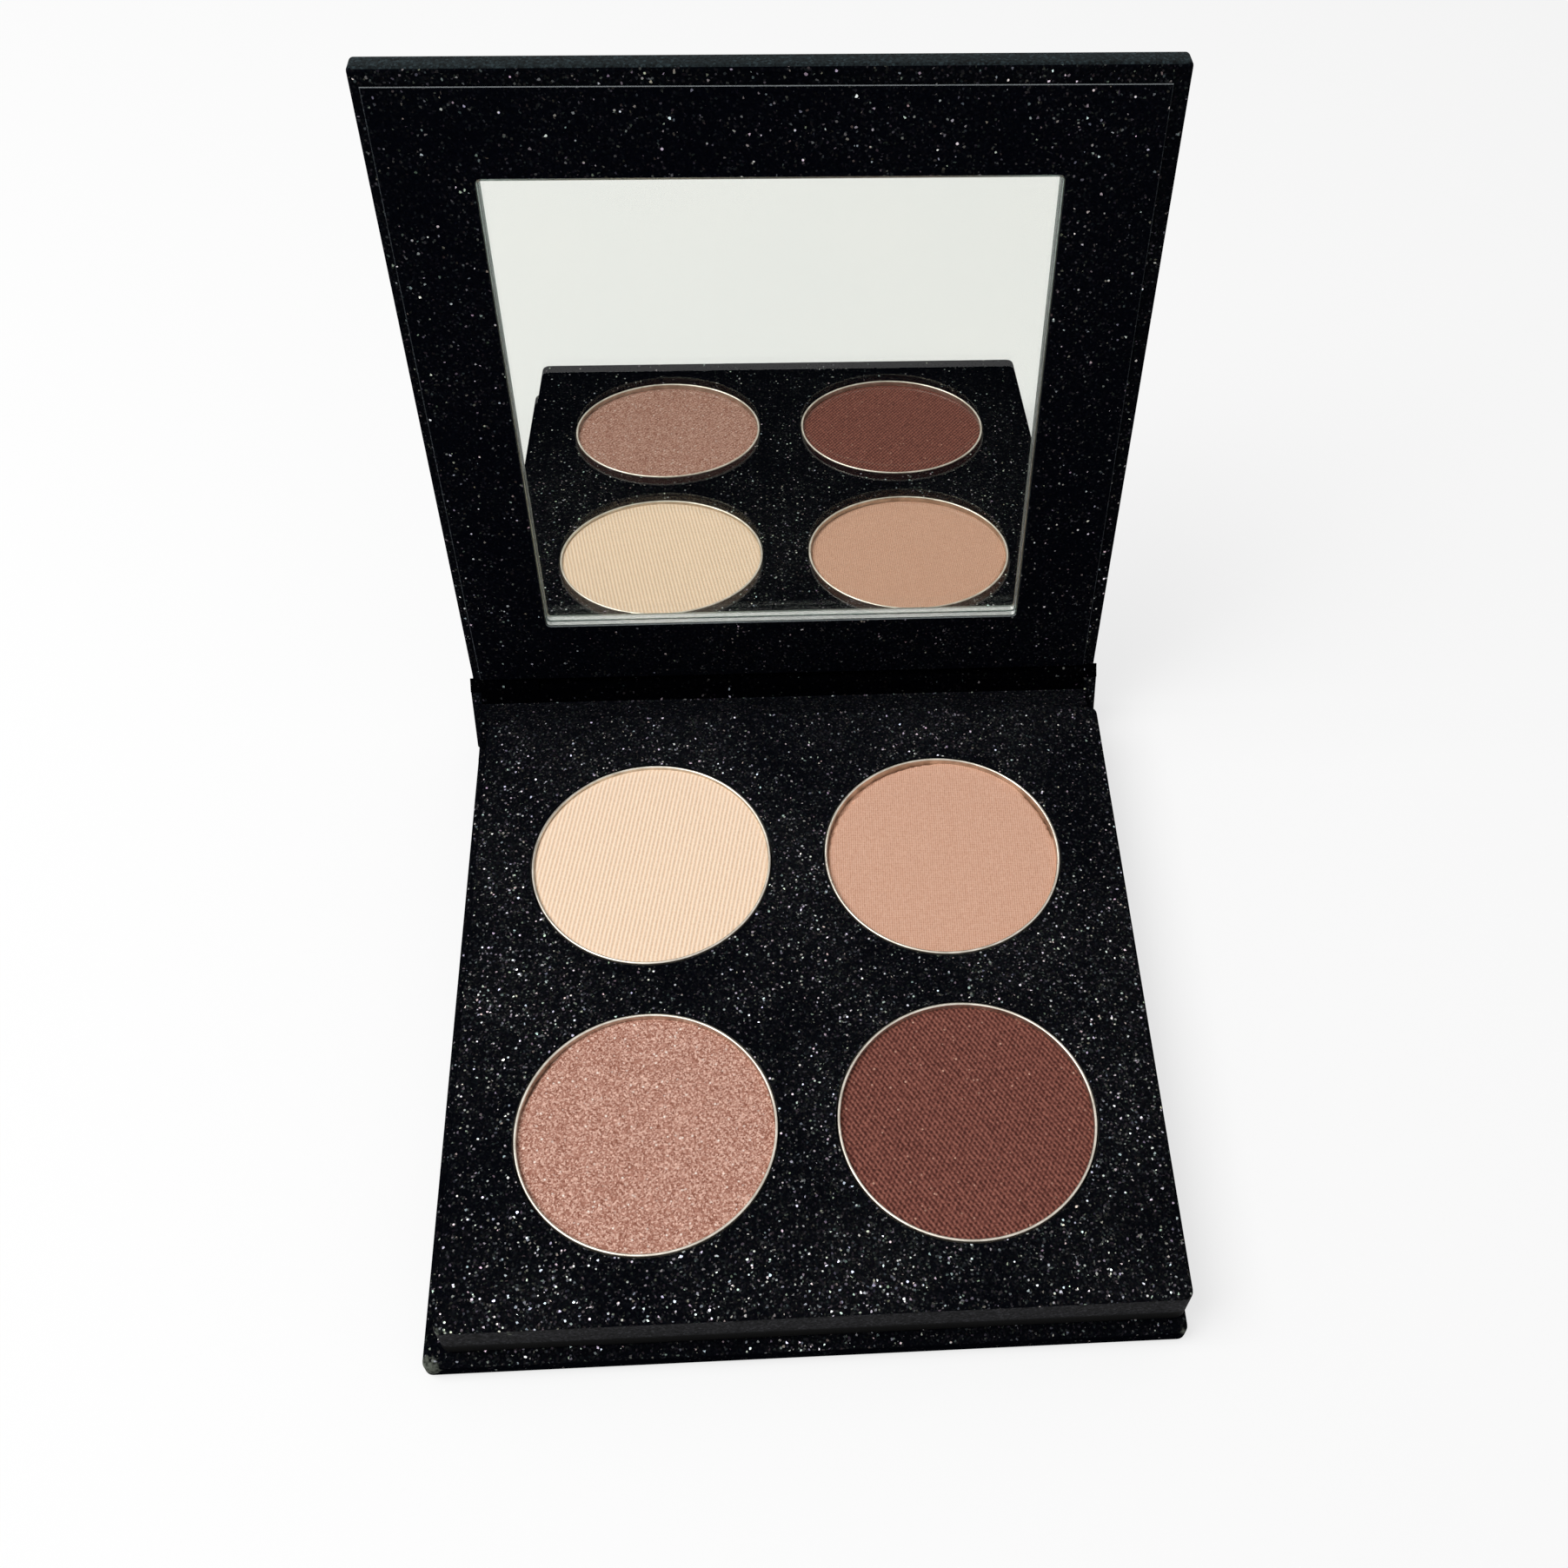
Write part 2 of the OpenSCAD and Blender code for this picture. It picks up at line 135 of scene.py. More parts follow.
def take_up(piece: Object, edit: bool = False) -> None:
    """Selects one piece alone, to be worked on.

    Args:
        piece: the object.
        edit: whether it is wanted in edit mode.
    """
    start_clean()
    piece.select_set(True)
    bpy.context.view_layer.objects.active = piece
    if edit:
        bpy.ops.object.mode_set(mode="EDIT")


def take_new(name: str) -> Object:
    """Names the primitive just added and moves its place into its mesh, in edit mode.

    Args:
        name: the piece's name.

    Returns:
        The piece, at the origin, in edit mode.
    """
    piece = bpy.context.active_object
    piece.name = piece.data.name = name
    bpy.ops.object.transform_apply(location=True, rotation=True, scale=True)
    bpy.ops.object.mode_set(mode="EDIT")
    return piece


def start_box(name: str, low: Point3, high: Point3) -> Object:
    """Adds a box between two corners, ready to be shaped.

    Args:
        name: the piece's name.
        low: its lowest corner in millimetres.
        high: its highest corner in millimetres.

    Returns:
        The box in edit mode.
    """
    start_clean()
    a, b = at(*low), at(*high)
    bpy.ops.mesh.primitive_cube_add(size=1, location=(a + b) / 2, scale=b - a)
    return take_new(name)


def pick(piece: Object, kind: Pick, test: Callable[[object], bool]) -> None:
    """Selects what passes a test in edit mode, and nothing else.

    Args:
        piece: the object in edit mode.
        kind: vertices, edges or faces.
        test: says whether an element is wanted.
    """
    bpy.ops.mesh.select_mode(type=kind.value)
    bpy.ops.mesh.select_all(action="DESELECT")
    work = bmesh.from_edit_mesh(piece.data)
    for part in {Pick.VERT: work.verts, Pick.EDGE: work.edges, Pick.FACE: work.faces}[kind]:
        if test(part):
            part.select_set(True)
    work.select_flush_mode()
    bmesh.update_edit_mesh(piece.data)


def near(value: float, millimetres: float) -> bool:
    """Says whether a coordinate in metres is at a place in millimetres."""
    return abs(value - millimetres * MM) < TINY


def lies_at(part: object, axis: int, millimetres: float) -> bool:
    """Says whether every vertex of an edge or face is at one height along an axis."""
    return all(near(v.co[axis], millimetres) for v in part.verts)


def runs_along(edge: object, axis: int) -> bool:
    """Says whether an edge runs along an axis."""
    span = edge.verts[0].co - edge.verts[1].co
    return abs(abs(span[axis]) - span.length) < 1e-7


def add_modifier(piece: Object, kind: str, **settings: object) -> None:
    """Adds a modifier to a piece and applies it.

    Args:
        piece: the object, in object mode.
        kind: the modifier's type.
        settings: what its properties are set to.
    """
    take_up(piece)
    modifier = piece.modifiers.new(kind.lower(), kind)
    for key, value in settings.items():
        setattr(modifier, key, value)
    bpy.ops.object.modifier_apply(modifier=modifier.name)


def give_thickness(piece: Object, edge_slot: int = 0) -> None:
    """Gives a sheet the paper's thickness, inwards from the face that shows.

    Args:
        piece: the sheet, in object mode.
        edge_slot: how many slots on the cut edge's material is.
    """
    add_modifier(
        piece,
        "SOLIDIFY",
        thickness=PAPER_T * MM,
        offset=-1,
        use_even_offset=True,
        use_quality_normals=True,
        material_offset_rim=edge_slot,
    )


def close_up(piece: Object, outward: bool = True, smooth_deg: float = 35) -> Object:
    """Merges doubles, turns the faces outwards and shades a piece.

    Args:
        piece: the object, in either mode.
        outward: whether its normals are worked out afresh.
        smooth_deg: up to which angle two faces are shaded as one.

    Returns:
        The piece in object mode.
    """
    if bpy.context.mode != "EDIT_MESH":
        take_up(piece, edit=True)
    bpy.ops.mesh.select_all(action="SELECT")
    bpy.ops.mesh.remove_doubles(threshold=0.002 * MM)
    if outward:
        bpy.ops.mesh.normals_make_consistent(inside=False)
    take_up(piece)
    bpy.ops.object.shade_smooth_by_angle(angle=math.radians(smooth_deg))
    start_clean()
    return piece


def extrude_by(x: float, y: float, z: float) -> None:
    """Extrudes the selection by a step in millimetres."""
    bpy.ops.mesh.extrude_region_move(TRANSFORM_OT_translate={"value": (x * MM, y * MM, z * MM)})


def scale_about(centre: Point3, x: float, y: float, z: float) -> None:
    """Scales the selection about a point in millimetres."""
    bpy.ops.transform.resize(value=(x, y, z), center_override=at(*centre))


def round_off(millimetres: float, segments: int = 5, **how: object) -> None:
    """Bevels the selected edges, or the selected corners where `affect` says so."""
    bpy.ops.mesh.bevel(offset=millimetres * MM, segments=segments, **{"affect": "EDGES", **how})


def add_plane(low: Point2, high: Point2) -> None:
    """Adds a flat rectangle at height 0, as part of the piece that is being edited.

    Args:
        low: its lowest corner in millimetres.
        high: its highest corner.
    """
    (x0, y0), (x1, y1) = low, high
    centre = ((x0 + x1) / 2, (y0 + y1) / 2, 0)
    bpy.ops.mesh.primitive_plane_add(size=1, location=at(*centre))
    scale_about(centre, (x1 - x0) * MM, (y1 - y0) * MM, 1)


def draw_rings(centre: Point2, rings: Sequence[Point2]) -> None:
    """Draws the selected disc or rim through rings, as a spinner forms metal over a chuck.

    Args:
        centre: the turning axis's x and y in millimetres.
        rings: radius and height of each ring, the first being where the selection is.
    """
    for (r0, z0), (r1, z1) in zip(rings, rings[1:]):
        extrude_by(0, 0, z1 - z0)
        scale_about((*centre, z1), r1 / r0, r1 / r0, 1)


def arc(r: float, z: float, radius: float, start_deg: float, steps: int) -> list[Point2]:
    """Works out an arc of a section, in steps of an eighth of a half turn.

    Args:
        r: its middle's distance from the axis.
        z: its middle's height.
        radius: its radius.
        start_deg: where it starts, anticlockwise from outwards.
        steps: how many steps it has; negative ones run clockwise.

    Returns:
        Its points.
    """
    way = 1 if steps > 0 else -1
    turns = (math.radians(start_deg) + way * math.pi / 8 * i for i in range(abs(steps) + 1))
    return [(r + radius * math.cos(a), z + radius * math.sin(a)) for a in turns]


def open_edges(piece: Object) -> int:
    """Counts the edges of a mesh that don't join exactly two faces.

    Args:
        piece: the piece, in object mode.

    Returns:
        Their number, which is 0 for a closed mesh.
    """
    work = bmesh.new()
    work.from_mesh(piece.data)
    count = sum(1 for edge in work.edges if len(edge.link_faces) != 2)
    work.free()
    return count


def copy_piece(piece: Object, name: str, shift: Point3) -> Object:
    """Copies a piece to another place, with a mesh of its own.

    Args:
        piece: the finished piece.
        name: the copy's name.
        shift: how far it moves, in millimetres.

    Returns:
        The copy, at the origin.
    """
    twin = piece.copy()
    twin.data = piece.data.copy()
    twin.name = twin.data.name = name
    twin.data.transform(Matrix.Translation(at(*shift)))
    bpy.context.scene.collection.objects.link(twin)
    return twin


def dress(piece: Object, *finishes: Material) -> None:
    """Gives a piece its materials.

    Args:
        piece: the piece.
        finishes: the materials, in the order of its slots.
    """
    piece.data.materials.clear()
    for finish in finishes:
        piece.data.materials.append(finish)


def give_slot(piece: Object, slot: int, test: Callable[[object], bool]) -> None:
    """Gives another of its materials to the faces that pass a test.

    Args:
        piece: the piece, in object mode.
        slot: the material's slot.
        test: says whether a face is wanted.
    """
    for face in piece.data.polygons:
        if test(face):
            face.material_index = slot


def report(piece: Object) -> None:
    """Logs a finished piece."""
    LOG.info("%s: %d faces, %d open edges", piece.name, len(piece.data.polygons), open_edges(piece))


def seat(piece: Object, body: str, slot: str, *nodes: str) -> None:
    """Lets a finished piece ride on its body in place of its CAD nodes.

    Args:
        piece: the finished piece.
        body: the CAD body that it moves with.
        slot: a material slot's name; not used.
        nodes: the CAD nodes that it stands for.
    """
    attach(piece, body)
    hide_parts(*nodes)
    report(piece)


def cut_opening(piece: Object, low: Point3, high: Point3) -> None:
    """Cuts a box-shaped opening through one wall of a closed piece.

    Args:
        piece: the piece, in object mode.
        low: the opening's lowest corner in millimetres.
        high: its highest corner.
    """
    cutter = start_box("opening", low, high)
    start_clean()
    add_modifier(piece, "BOOLEAN", object=cutter, operation="DIFFERENCE", solver="EXACT")
    bpy.data.objects.remove(cutter, do_unlink=True)


# --- Finishes -----------------------------------------------------------------------------------


def linear(code: str) -> tuple[float, float, float, float]:
    """Turns an sRGB hex value into the linear colour that a shader takes.

    Args:
        code: such as "#1A2B3C".

    Returns:
        Red, green, blue and a full alpha.
    """
    parts = [int(code[i : i + 2], 16) / 255 for i in (1, 3, 5)]
    turned = [c / 12.92 if c <= 0.04045 else ((c + 0.055) / 1.055) ** 2.4 for c in parts]
    return turned[0], turned[1], turned[2], 1.0


def feed(node: Node, inputs: Inputs) -> None:
    """Sets or links a node's inputs.

    Args:
        node: the node.
        inputs: a value, a hex colour or a socket for each, by name or number, or in their order.
    """
    for key, value in inputs.items() if isinstance(inputs, dict) else enumerate(inputs):
        if isinstance(value, Socket):
            node.id_data.links.new(value, node.inputs[key])
        else:
            node.inputs[key].default_value = linear(value) if isinstance(value, str) else value


class Nodes:
    """A node tree while it is filled."""

    def __init__(self, tree: Tree) -> None:
        """Takes up a tree."""
        self.tree = tree

    def add(
        self, kind: str, inputs: Inputs = (), output: object = 0, **settings: object
    ) -> Socket:
        """Adds a node with its settings, values and links.

        Args:
            kind: the node's type, without its ShaderNode.
            inputs: what feed() gives its inputs.
            output: which of its outputs is wanted.
            settings: its properties.

        Returns:
            That output.
        """
        node = self.tree.nodes.new("ShaderNode" + kind)
        for key, value in settings.items():
            setattr(node, key, value)
        feed(node, inputs)
        return node.outputs[output]


@dataclass(frozen=True)
class Wear:
    """A spot where the sheet is rubbed through to its core.

    Attributes:
        centre: the middle of the spot in millimetres.
        reach: how far it goes.
        strength: how far it is rubbed, from 0 to 1.
    """

    centre: Point3
    reach: float
    strength: float = 1.0


class Coat(Nodes):
    """A material while it is made, with its shader and the place on the piece in millimetres."""

    def __init__(self, name: str, **sockets: object) -> None:
        """Starts the material.

        Args:
            name: the material's name.
            sockets: plain values for the shader's sockets, with _ for a space.
        """
        self.material = bpy.data.materials.new(name)
        self.material.use_nodes = True
        super().__init__(self.material.node_tree)
        self.shader = self.tree.nodes["Principled BSDF"]
        feed(self.shader, {key.replace("_", " "): value for key, value in sockets.items()})
        spot = self.add("TexCoord", output="Object")
        self.place = self.add("Mapping", {"Vector": spot, "Scale": (1 / MM, 1 / MM, 1 / MM)})

    def paint(self, colour: Socket, **sockets: Socket) -> Material:
        """Gives the shader its colour and whatever else varies over the surface.

        Args:
            colour: the colour.
            sockets: the rest.

        Returns:
            The material.
        """
        feed(self.shader, {"Base Color": colour, **sockets})
        return self.material

    def grade(
        self, value: Socket, band: Point2, first: object, second: object, most: float = 1.0
    ) -> Socket:
        """Grades one colour into another as a value crosses a band.

        Args:
            value: what grades it.
            band: where the grading starts and ends.
            first: the colour at the start, a hex value or a socket.
            second: the colour at the end.
            most: the second colour's share at the end.

        Returns:
            The colour.
        """
        share = self.add("MapRange", (value, *band, 0.0, most))
        return self.add("Mix", {"Factor": share, "A": first, "B": second}, 2, data_type="RGBA")

    def strew(self, per_mm: float) -> tuple[bpy.types.NodeOutputs, Socket]:
        """Strews cells of one size, each with a chance of its own.

        Args:
            per_mm: how many cells lie along a millimetre.

        Returns:
            The cells' outputs, and a random number from 0 to 1 for each cell.
        """
        cells = self.add("TexVoronoi", {"Vector": self.place, "Scale": per_mm}).node.outputs
        return cells, self.add("TexWhiteNoise", {"Vector": cells["Position"]}, "Value")

    def mask_wear(self, spots: Sequence[Wear]) -> Socket:
        """Makes the mask of the worn spots, ragged at their edges.

        Args:
            spots: the worn spots.

        Returns:
            A socket that is 1 where the core shows.
        """
        worn: object = 0.0
        for spot in spots:
            far = self.add("VectorMath", (self.place, spot.centre), "Value", operation="DISTANCE")
            close = self.add("MapRange", (far, 0.0, spot.reach, spot.strength, 0.0))
            worn = self.add("Math", (worn, close), operation="MAXIMUM")
        # The folded sheet cracks in flakes of a few tenths of a millimetre
        ragged = self.add("TexNoise", {"Vector": self.place, "Scale": 2.6, "Detail": 5.0})
        broken = self.add("Math", (worn, ragged), operation="MULTIPLY")
        return self.add("MapRange", (broken, 0.22, 0.4, 0.0, 1.0))


@dataclass(frozen=True)
class GlitterPaper:
    """Black glitter paper: a dyed sheet strewn with metallised film flakes.

    It gives the eye near-black paper with a dense fine sparkle: most flakes lie dark, a few tip
    towards the light, and larger ones show as single bright dots. The sheet between them has no
    gloss. The flakes are 0.1 mm film on the real sheet, and are drawn about twice as coarse so
    that single ones show.

    Attributes:
        name: the material's name.
        glint: the share of flakes that catch the light.
        dots: the share of larger flakes that show as single dots.
        flake: the size of a small flake in millimetres.
        dot: the spacing of the larger flakes.
        sheet: the dyed sheet.
        core: the sheet's pulp where it is rubbed through.
        tip: how far the flakes tip out of the sheet.
        tail: how much rarer a bright flake is than a dull one.
        tint: how far a flake takes a colour of its own.
        sparse: the glint where the flakes lie thinnest, as a share.
        dense: the glint where they lie thickest.
        slant: the low angles at which the small flakes fade, as Layer Weight's facing.
        faded: what is left of them.
        wear: where the sheet is rubbed.
    """

    name: str
    glint: float
    dots: float
    flake: float = 0.19
    dot: float = 0.38
    sheet: str = "#030408"
    core: str = "#5B5F57"
    tip: float = 0.5
    tail: float = 1.2
    tint: float = 0.3
    sparse: float = 0.6
    dense: float = 1.5
    slant: Point2 = (0.36, 0.6)
    faded: float = 0.12
    wear: tuple[Wear, ...] = ()

    def build(self) -> Material:
        """Makes the material.

        Returns:
            The material.
        """
        coat = Coat(self.name, Roughness=0.42, Specular_IOR_Level=0.0, Specular_Tint="#000000")
        cells, chance = coat.strew(1 / self.flake)
        # The flakes lie a little denser here and there, over some 10 mm
        drift = coat.add("TexNoise", {"Vector": coat.place, "Scale": 0.09, "Detail": 3.0})
        thin, thick = self.sparse * self.glint, self.dense * self.glint
        strewn = coat.add("MapRange", (drift, 0.35, 0.65, thin, thick))
        # A flake's brightness has a long tail: the brightest hundredth does most of the sparkle
        rarity = coat.add("Math", (1.0 + self.glint, chance), operation="SUBTRACT")
        shine = coat.add("Math", (strewn, rarity), operation="DIVIDE")
        shine = coat.add("Math", (shine, self.tail), operation="POWER")
        # The small flakes' gloss is lost at a low angle; slant and faded say how far
        facing = coat.add("LayerWeight", {"Blend": 0.5}, "Facing")
        inputs = (facing, *self.slant, 1.0, self.faded)
        sunk = coat.add("MapRange", inputs, interpolation_type="SMOOTHSTEP")
        shine = coat.add("Math", (shine, sunk), operation="MULTIPLY")
        shine = coat.add("Math", (shine, self._dots(coat)), operation="MAXIMUM")
        inputs = {"Factor": self.tint, "A": "#FFFFFF", "B": cells["Color"]}
        tone = coat.add("Mix", inputs, 2, data_type="RGBA")
        flakes = coat.add("VectorMath", {0: tone, "Scale": shine}, operation="SCALE")
        dyed = linear(self.sheet)[:3]
        colour = coat.add("VectorMath", (flakes, dyed), operation="ADD")
        # Only what shines is metal: the dull flakes are lost in the dyed sheet
        metal = coat.add("MapRange", (shine, 0.01, 0.06, 0.0, 1.0))
        if self.wear:
            bare = coat.mask_wear(self.wear)
            colour = coat.grade(bare, (0.0, 1.0), colour, self.core)
            covered = coat.add("Math", (1.0, bare), operation="SUBTRACT")
            metal = coat.add("Math", (metal, covered), operation="MULTIPLY")
        inputs = (cells["Color"], (self.tip,) * 3, (-self.tip / 2,) * 3)
        tipped = coat.add("VectorMath", inputs, operation="MULTIPLY_ADD")
        square_on = coat.add("NewGeometry", output="Normal")
        turned = coat.add("VectorMath", (square_on, tipped), operation="ADD")
        unit = coat.add("VectorMath", (turned,), operation="NORMALIZE")
        return coat.paint(colour, Metallic=metal, Normal=unit)

    def _dots(self, coat: Coat) -> Socket:
        """Draws the larger flakes, round and apart.

        Args:
            coat: the material that is being made.

        Returns:
            Their brightness, which is 0 between them.
        """
        cells, chance = coat.strew(1 / self.dot)
        rarest = 1.0 - self.dots
        # A flake is round, and fades between these shares of its cell
        near_middle = coat.add("MapRange", (cells["Distance"], 0.24, 0.34, 1.0, 0.0))
        bright = coat.add("MapRange", (chance, rarest, 1.0, 0.25, 1.0))
        chosen = coat.add("Math", (chance, rarest), operation="GREATER_THAN")
        shown = coat.add("Math", (near_middle, chosen), operation="MULTIPLY")
        return coat.add("Math", (shown, bright), operation="MULTIPLY")


@dataclass(frozen=True)
class PlainPaper:
    """Black uncoated cover paper: dark grey, matt, grainy with fibre and loose flakes.

    Attributes:
        name: the material's name.
        sheet: the dyed sheet.
        core: its pulp where it is rubbed through.
        foot_shade_heights: between which heights it turns from near black to grey, if it does.
        wear: where the sheet is rubbed.
    """

    name: str
    sheet: str = "#18181A"
    core: str = "#5B5F57"
    foot_shade_heights: tuple[float, ...] = ()
    wear: tuple[Wear, ...] = ()

    def build(self) -> Material:
        """Makes the material.

        Returns:
            The material.
        """
        coat = Coat(self.name, Roughness=0.78, IOR=1.48, Specular_IOR_Level=0.08)
        # Paper fibre is 1 to 2 mm long and 0.03 mm wide; drawn 0.15 mm wide so that it shows
        fibre = coat.add("TexNoise", {"Vector": coat.place, "Scale": 3.4, "Detail": 5.0})
        shade = coat.add("MapRange", (fibre, 0.35, 0.68, 0.25, 2.0))
        # Loose flakes cling to it, a few tenths of a millimetre apart
        chance = coat.strew(4.6)[1]
        speck = coat.add("MapRange", (chance, 0.7, 1.0, 0.0, 2.6))
        shade = coat.add("Math", (shade, speck), operation="ADD")
        if self.foot_shade_heights:
            # Painted shade: the wall is near black at its foot, by the base, and grey above
            height = coat.add("SeparateXYZ", (coat.place,), "Z")
            inputs = (height, *self.foot_shade_heights, 0.02, 0.95)
            rise = coat.add("MapRange", inputs, interpolation_type="SMOOTHSTEP")
            shade = coat.add("Math", (shade, rise), operation="MULTIPLY")
        inputs = {0: linear(self.sheet)[:3], "Scale": shade}
        colour = coat.add("VectorMath", inputs, operation="SCALE")
        if self.wear:
            bare = coat.mask_wear(self.wear)
            colour = coat.grade(bare, (0.0, 1.0), colour, self.core)
        inputs = {"Height": fibre, "Strength": 0.5, "Distance": 0.02 * MM}
        return coat.paint(colour, Normal=coat.add("Bump", inputs))


@dataclass(frozen=True)
class CutBoard:
    """Grey pulp stock where it is cut: greyboard, or the core of a paper. Dull and fibrous."""

    name: str
    pulp: str
    dark: str
    fibre: float = 3.0

    def build(self) -> Material:
        """Makes the material.

        Returns:
            The material.
        """
        coat = Coat(self.name, Roughness=0.92, IOR=1.45)
        # Recycled pulp shows flecks of about 0.3 mm
        fleck = coat.add("TexNoise", {"Vector": coat.place, "Scale": self.fibre, "Detail": 5.0})
        inputs = {"Height": fleck, "Strength": 0.6, "Distance": 0.04 * MM}
        colour = coat.grade(fleck, (0.35, 0.65), self.dark, self.pulp)
        return coat.paint(colour, Normal=coat.add("Bump", inputs))


@dataclass(frozen=True)
class RolledMetal:
    """Rolled and pressed sheet metal: tinplate, nickel-plated steel. Satin, faintly streaked."""

    name: str
    metal: str
    dull: str
    roughness: float = 0.34

    def build(self) -> Material:
        """Makes the material.

        Returns:
            The material.
        """
        coat = Coat(self.name, Metallic=1.0)
        # Rolling leaves streaks some 0.05 mm apart; drawn 0.2 mm apart
        drawn_out = coat.add("VectorMath", (coat.place, (0.3, 5.0, 5.0)), operation="MULTIPLY")
        streak = coat.add("TexNoise", {"Vector": drawn_out, "Scale": 1.0, "Detail": 3.0})
        handled = coat.add("TexNoise", {"Vector": coat.place, "Scale": 0.7, "Detail": 3.0})
        smooth, coarse = self.roughness - 0.08, self.roughness + 0.1
        rough = coat.add("MapRange", (streak, 0.3, 0.7, smooth, coarse))
        colour = coat.grade(handled, (0.35, 0.7), self.metal, self.dull)
        return coat.paint(colour, Roughness=rough)


class Pressing(Enum):
    """The face that a powder press leaves on a cake, and how strong its ribbon's lines are."""

    RIBBED = 0.75
    LINED = 0.5
    SATIN = 0.15
    LINEN = 0.9


@dataclass(frozen=True)
class PressedPowder:
    """Pressed cosmetic powder: talc and mica bound with a little oil, pressed under a ribbon.

    It gives the eye a soft matt face with a fine grain and the ribbon's lines. Pearl shades also
    hold mica platelets of 0.05 to 0.1 mm that glint. They are drawn about 0.15 mm wide, and the
    single bright ones about 0.25 mm, so that they show.

    Attributes:
        name: the material's name.
        colour: the powder.
        light: its crests, partly painted light, and its platelets.
        dark: its hollows, partly painted shade.
        centre: the middle of the cake, which the ribbon's lines are counted from.
        pressing: the face that the press leaves.
        period: the spacing of the ribbon's lines in millimetres.
        turn_deg: how far the lines are turned clockwise from the Y direction.
        cross: how strong the second set of lines is, across the first.
        cross_deg: how far the crossing lines are turned from the others.
        contrast: how far the lines and the grain darken and lighten the powder.
        grain: the clumps' height against the ribbon's.
        pearl: the share of mica.
        glints: the share of single bright platelets, painted into the colour as glints.
        glint_tone: their colour.
        low_angle: how much of a pearl's painted sheen is left at a low angle.
        depth: the relief in millimetres.
        wander: how far the ribbon's threads stray, in radians of their wave.
    """

    name: str
    colour: str
    light: str
    dark: str
    centre: Point2
    pressing: Pressing
    period: float
    turn_deg: float = 0.0
    cross: float = 0.0
    cross_deg: float = 90
    contrast: float = 1.0
    grain: float = 0.45
    pearl: float = 0.0
    glints: float = 0.0
    glint_tone: str = "#FBEDE2"
    low_angle: float = 1.0
    depth: float = 0.02
    wander: float = 1.6

    def build(self) -> Material:
        """Makes the material.

        Returns:
            The material.
        """
        coat = Coat(self.name, Roughness=0.88, IOR=1.5, Specular_IOR_Level=0.2)
        # Pigment clumps of 0.1 to 0.2 mm
        clumps = coat.add("TexNoise", {"Vector": coat.place, "Scale": 4.5, "Detail": 4.0})
        grain = coat.add("MapRange", (clumps, 0.3, 0.7, -1.0, 1.0))
        inputs = (grain, self.grain, self._ribbon(coat))
        height = coat.add("Math", inputs, operation="MULTIPLY_ADD")
        if self.pearl:
            height = self._platelets(coat, height)
        # The grain and the lines together reach about 1.3 up and down
        colour: object = self.colour
        # The grain's own tone, with painted shade in the ribbon's grooves and light on its ridges
        for tone, full in ((self.dark, -1.3), (self.light, 1.3)):
            colour = coat.grade(height, (0.0, full), colour, tone, self.contrast)
        if self.glints:
            colour = self._glints(coat, colour)
        if self.low_angle < 1:
            # Painted sheen: the colour darkens at a low angle, where flat platelets show less sheen
            facing = coat.add("LayerWeight", {"Blend": 0.5}, "Facing")
            left = coat.add("MapRange", (facing, 0.3, 0.6, 1.0, self.low_angle))
            colour = coat.add("VectorMath", {0: colour, "Scale": left}, operation="SCALE")
        inputs = {"Height": height, "Strength": 1.0, "Distance": self.depth * MM}
        return coat.paint(colour, Normal=coat.add("Bump", inputs))

    def _lines(self, coat: Coat, turn_deg: float) -> Socket:
        """Draws one set of the ribbon's lines.

        Args:
            coat: the material that is being made.
            turn_deg: how far the lines are turned clockwise from the Y direction.

        Returns:
            A wave from -1 in the grooves to 1 on the ridges.
        """
        turn, rate = math.radians(turn_deg), 2 * math.pi / self.period
        across = (math.cos(turn) * rate, -math.sin(turn) * rate, 0.0)
        middle = across[0] * self.centre[0] + across[1] * self.centre[1]
        along = coat.add("VectorMath", (coat.place, across), "Value", operation="DOT_PRODUCT")
        stray = coat.add("TexNoise", {"Vector": coat.place, "Scale": 0.9, "Detail": 2.0})
        moved = coat.add("Math", (stray, self.wander, along), operation="MULTIPLY_ADD")
        offset = -middle - self.wander / 2
        phase = coat.add("Math", (moved, offset), operation="ADD")
        return coat.add("Math", (phase,), operation="COSINE")

    def _ribbon(self, coat: Coat) -> Socket:
        """Draws the weave of the pressing ribbon.

        Args:
            coat: the material that is being made.

        Returns:
            Its height, from about -1 to 1.
        """
        inputs = (self._lines(coat, self.turn_deg), self.pressing.value)
        bands = coat.add("Math", inputs, operation="MULTIPLY")
        if not self.cross:
            return bands
        crossing = self._lines(coat, self.turn_deg + self.cross_deg)
        return coat.add("Math", (crossing, self.cross, bands), operation="MULTIPLY_ADD")

    def _platelets(self, coat: Coat, height: Socket) -> Socket:
        """Strews mica platelets through the powder, each tipped its own way.

        Args:
            coat: the material that is being made.
            height: the powder's relief.

        Returns:
            The relief with the platelets.
        """
        chance = coat.strew(7.0)[1]
        rise = 1.2 * self.pearl
        tipped = coat.add("MapRange", (chance, 0.0, 1.0, -rise, rise))
        gloss = coat.add("MapRange", (chance, 0.6, 1.0, 0.0, self.pearl / 2))
        feed(coat.shader, {"Metallic": gloss})
        return coat.add("Math", (height, tipped), operation="ADD")

    def _glints(self, coat: Coat, colour: Socket) -> Socket:
        """Paints single bright platelets into the powder's colour: painted glints.

        Args:
            coat: the material that is being made.
            colour: the powder's colour.

        Returns:
            The colour with the platelets.
        """
        cells, chance = coat.strew(2.6)
        round_one = coat.add("MapRange", (cells["Distance"], 0.24, 0.36, 1.0, 0.0))
        rare = coat.add("MapRange", (chance, 1.0 - self.glints, 1.0, 0.0, 1.0))
        share = coat.add("Math", (round_one, rare), operation="MULTIPLY")
        return coat.grade(share, (0.0, 1.0), colour, self.glint_tone)


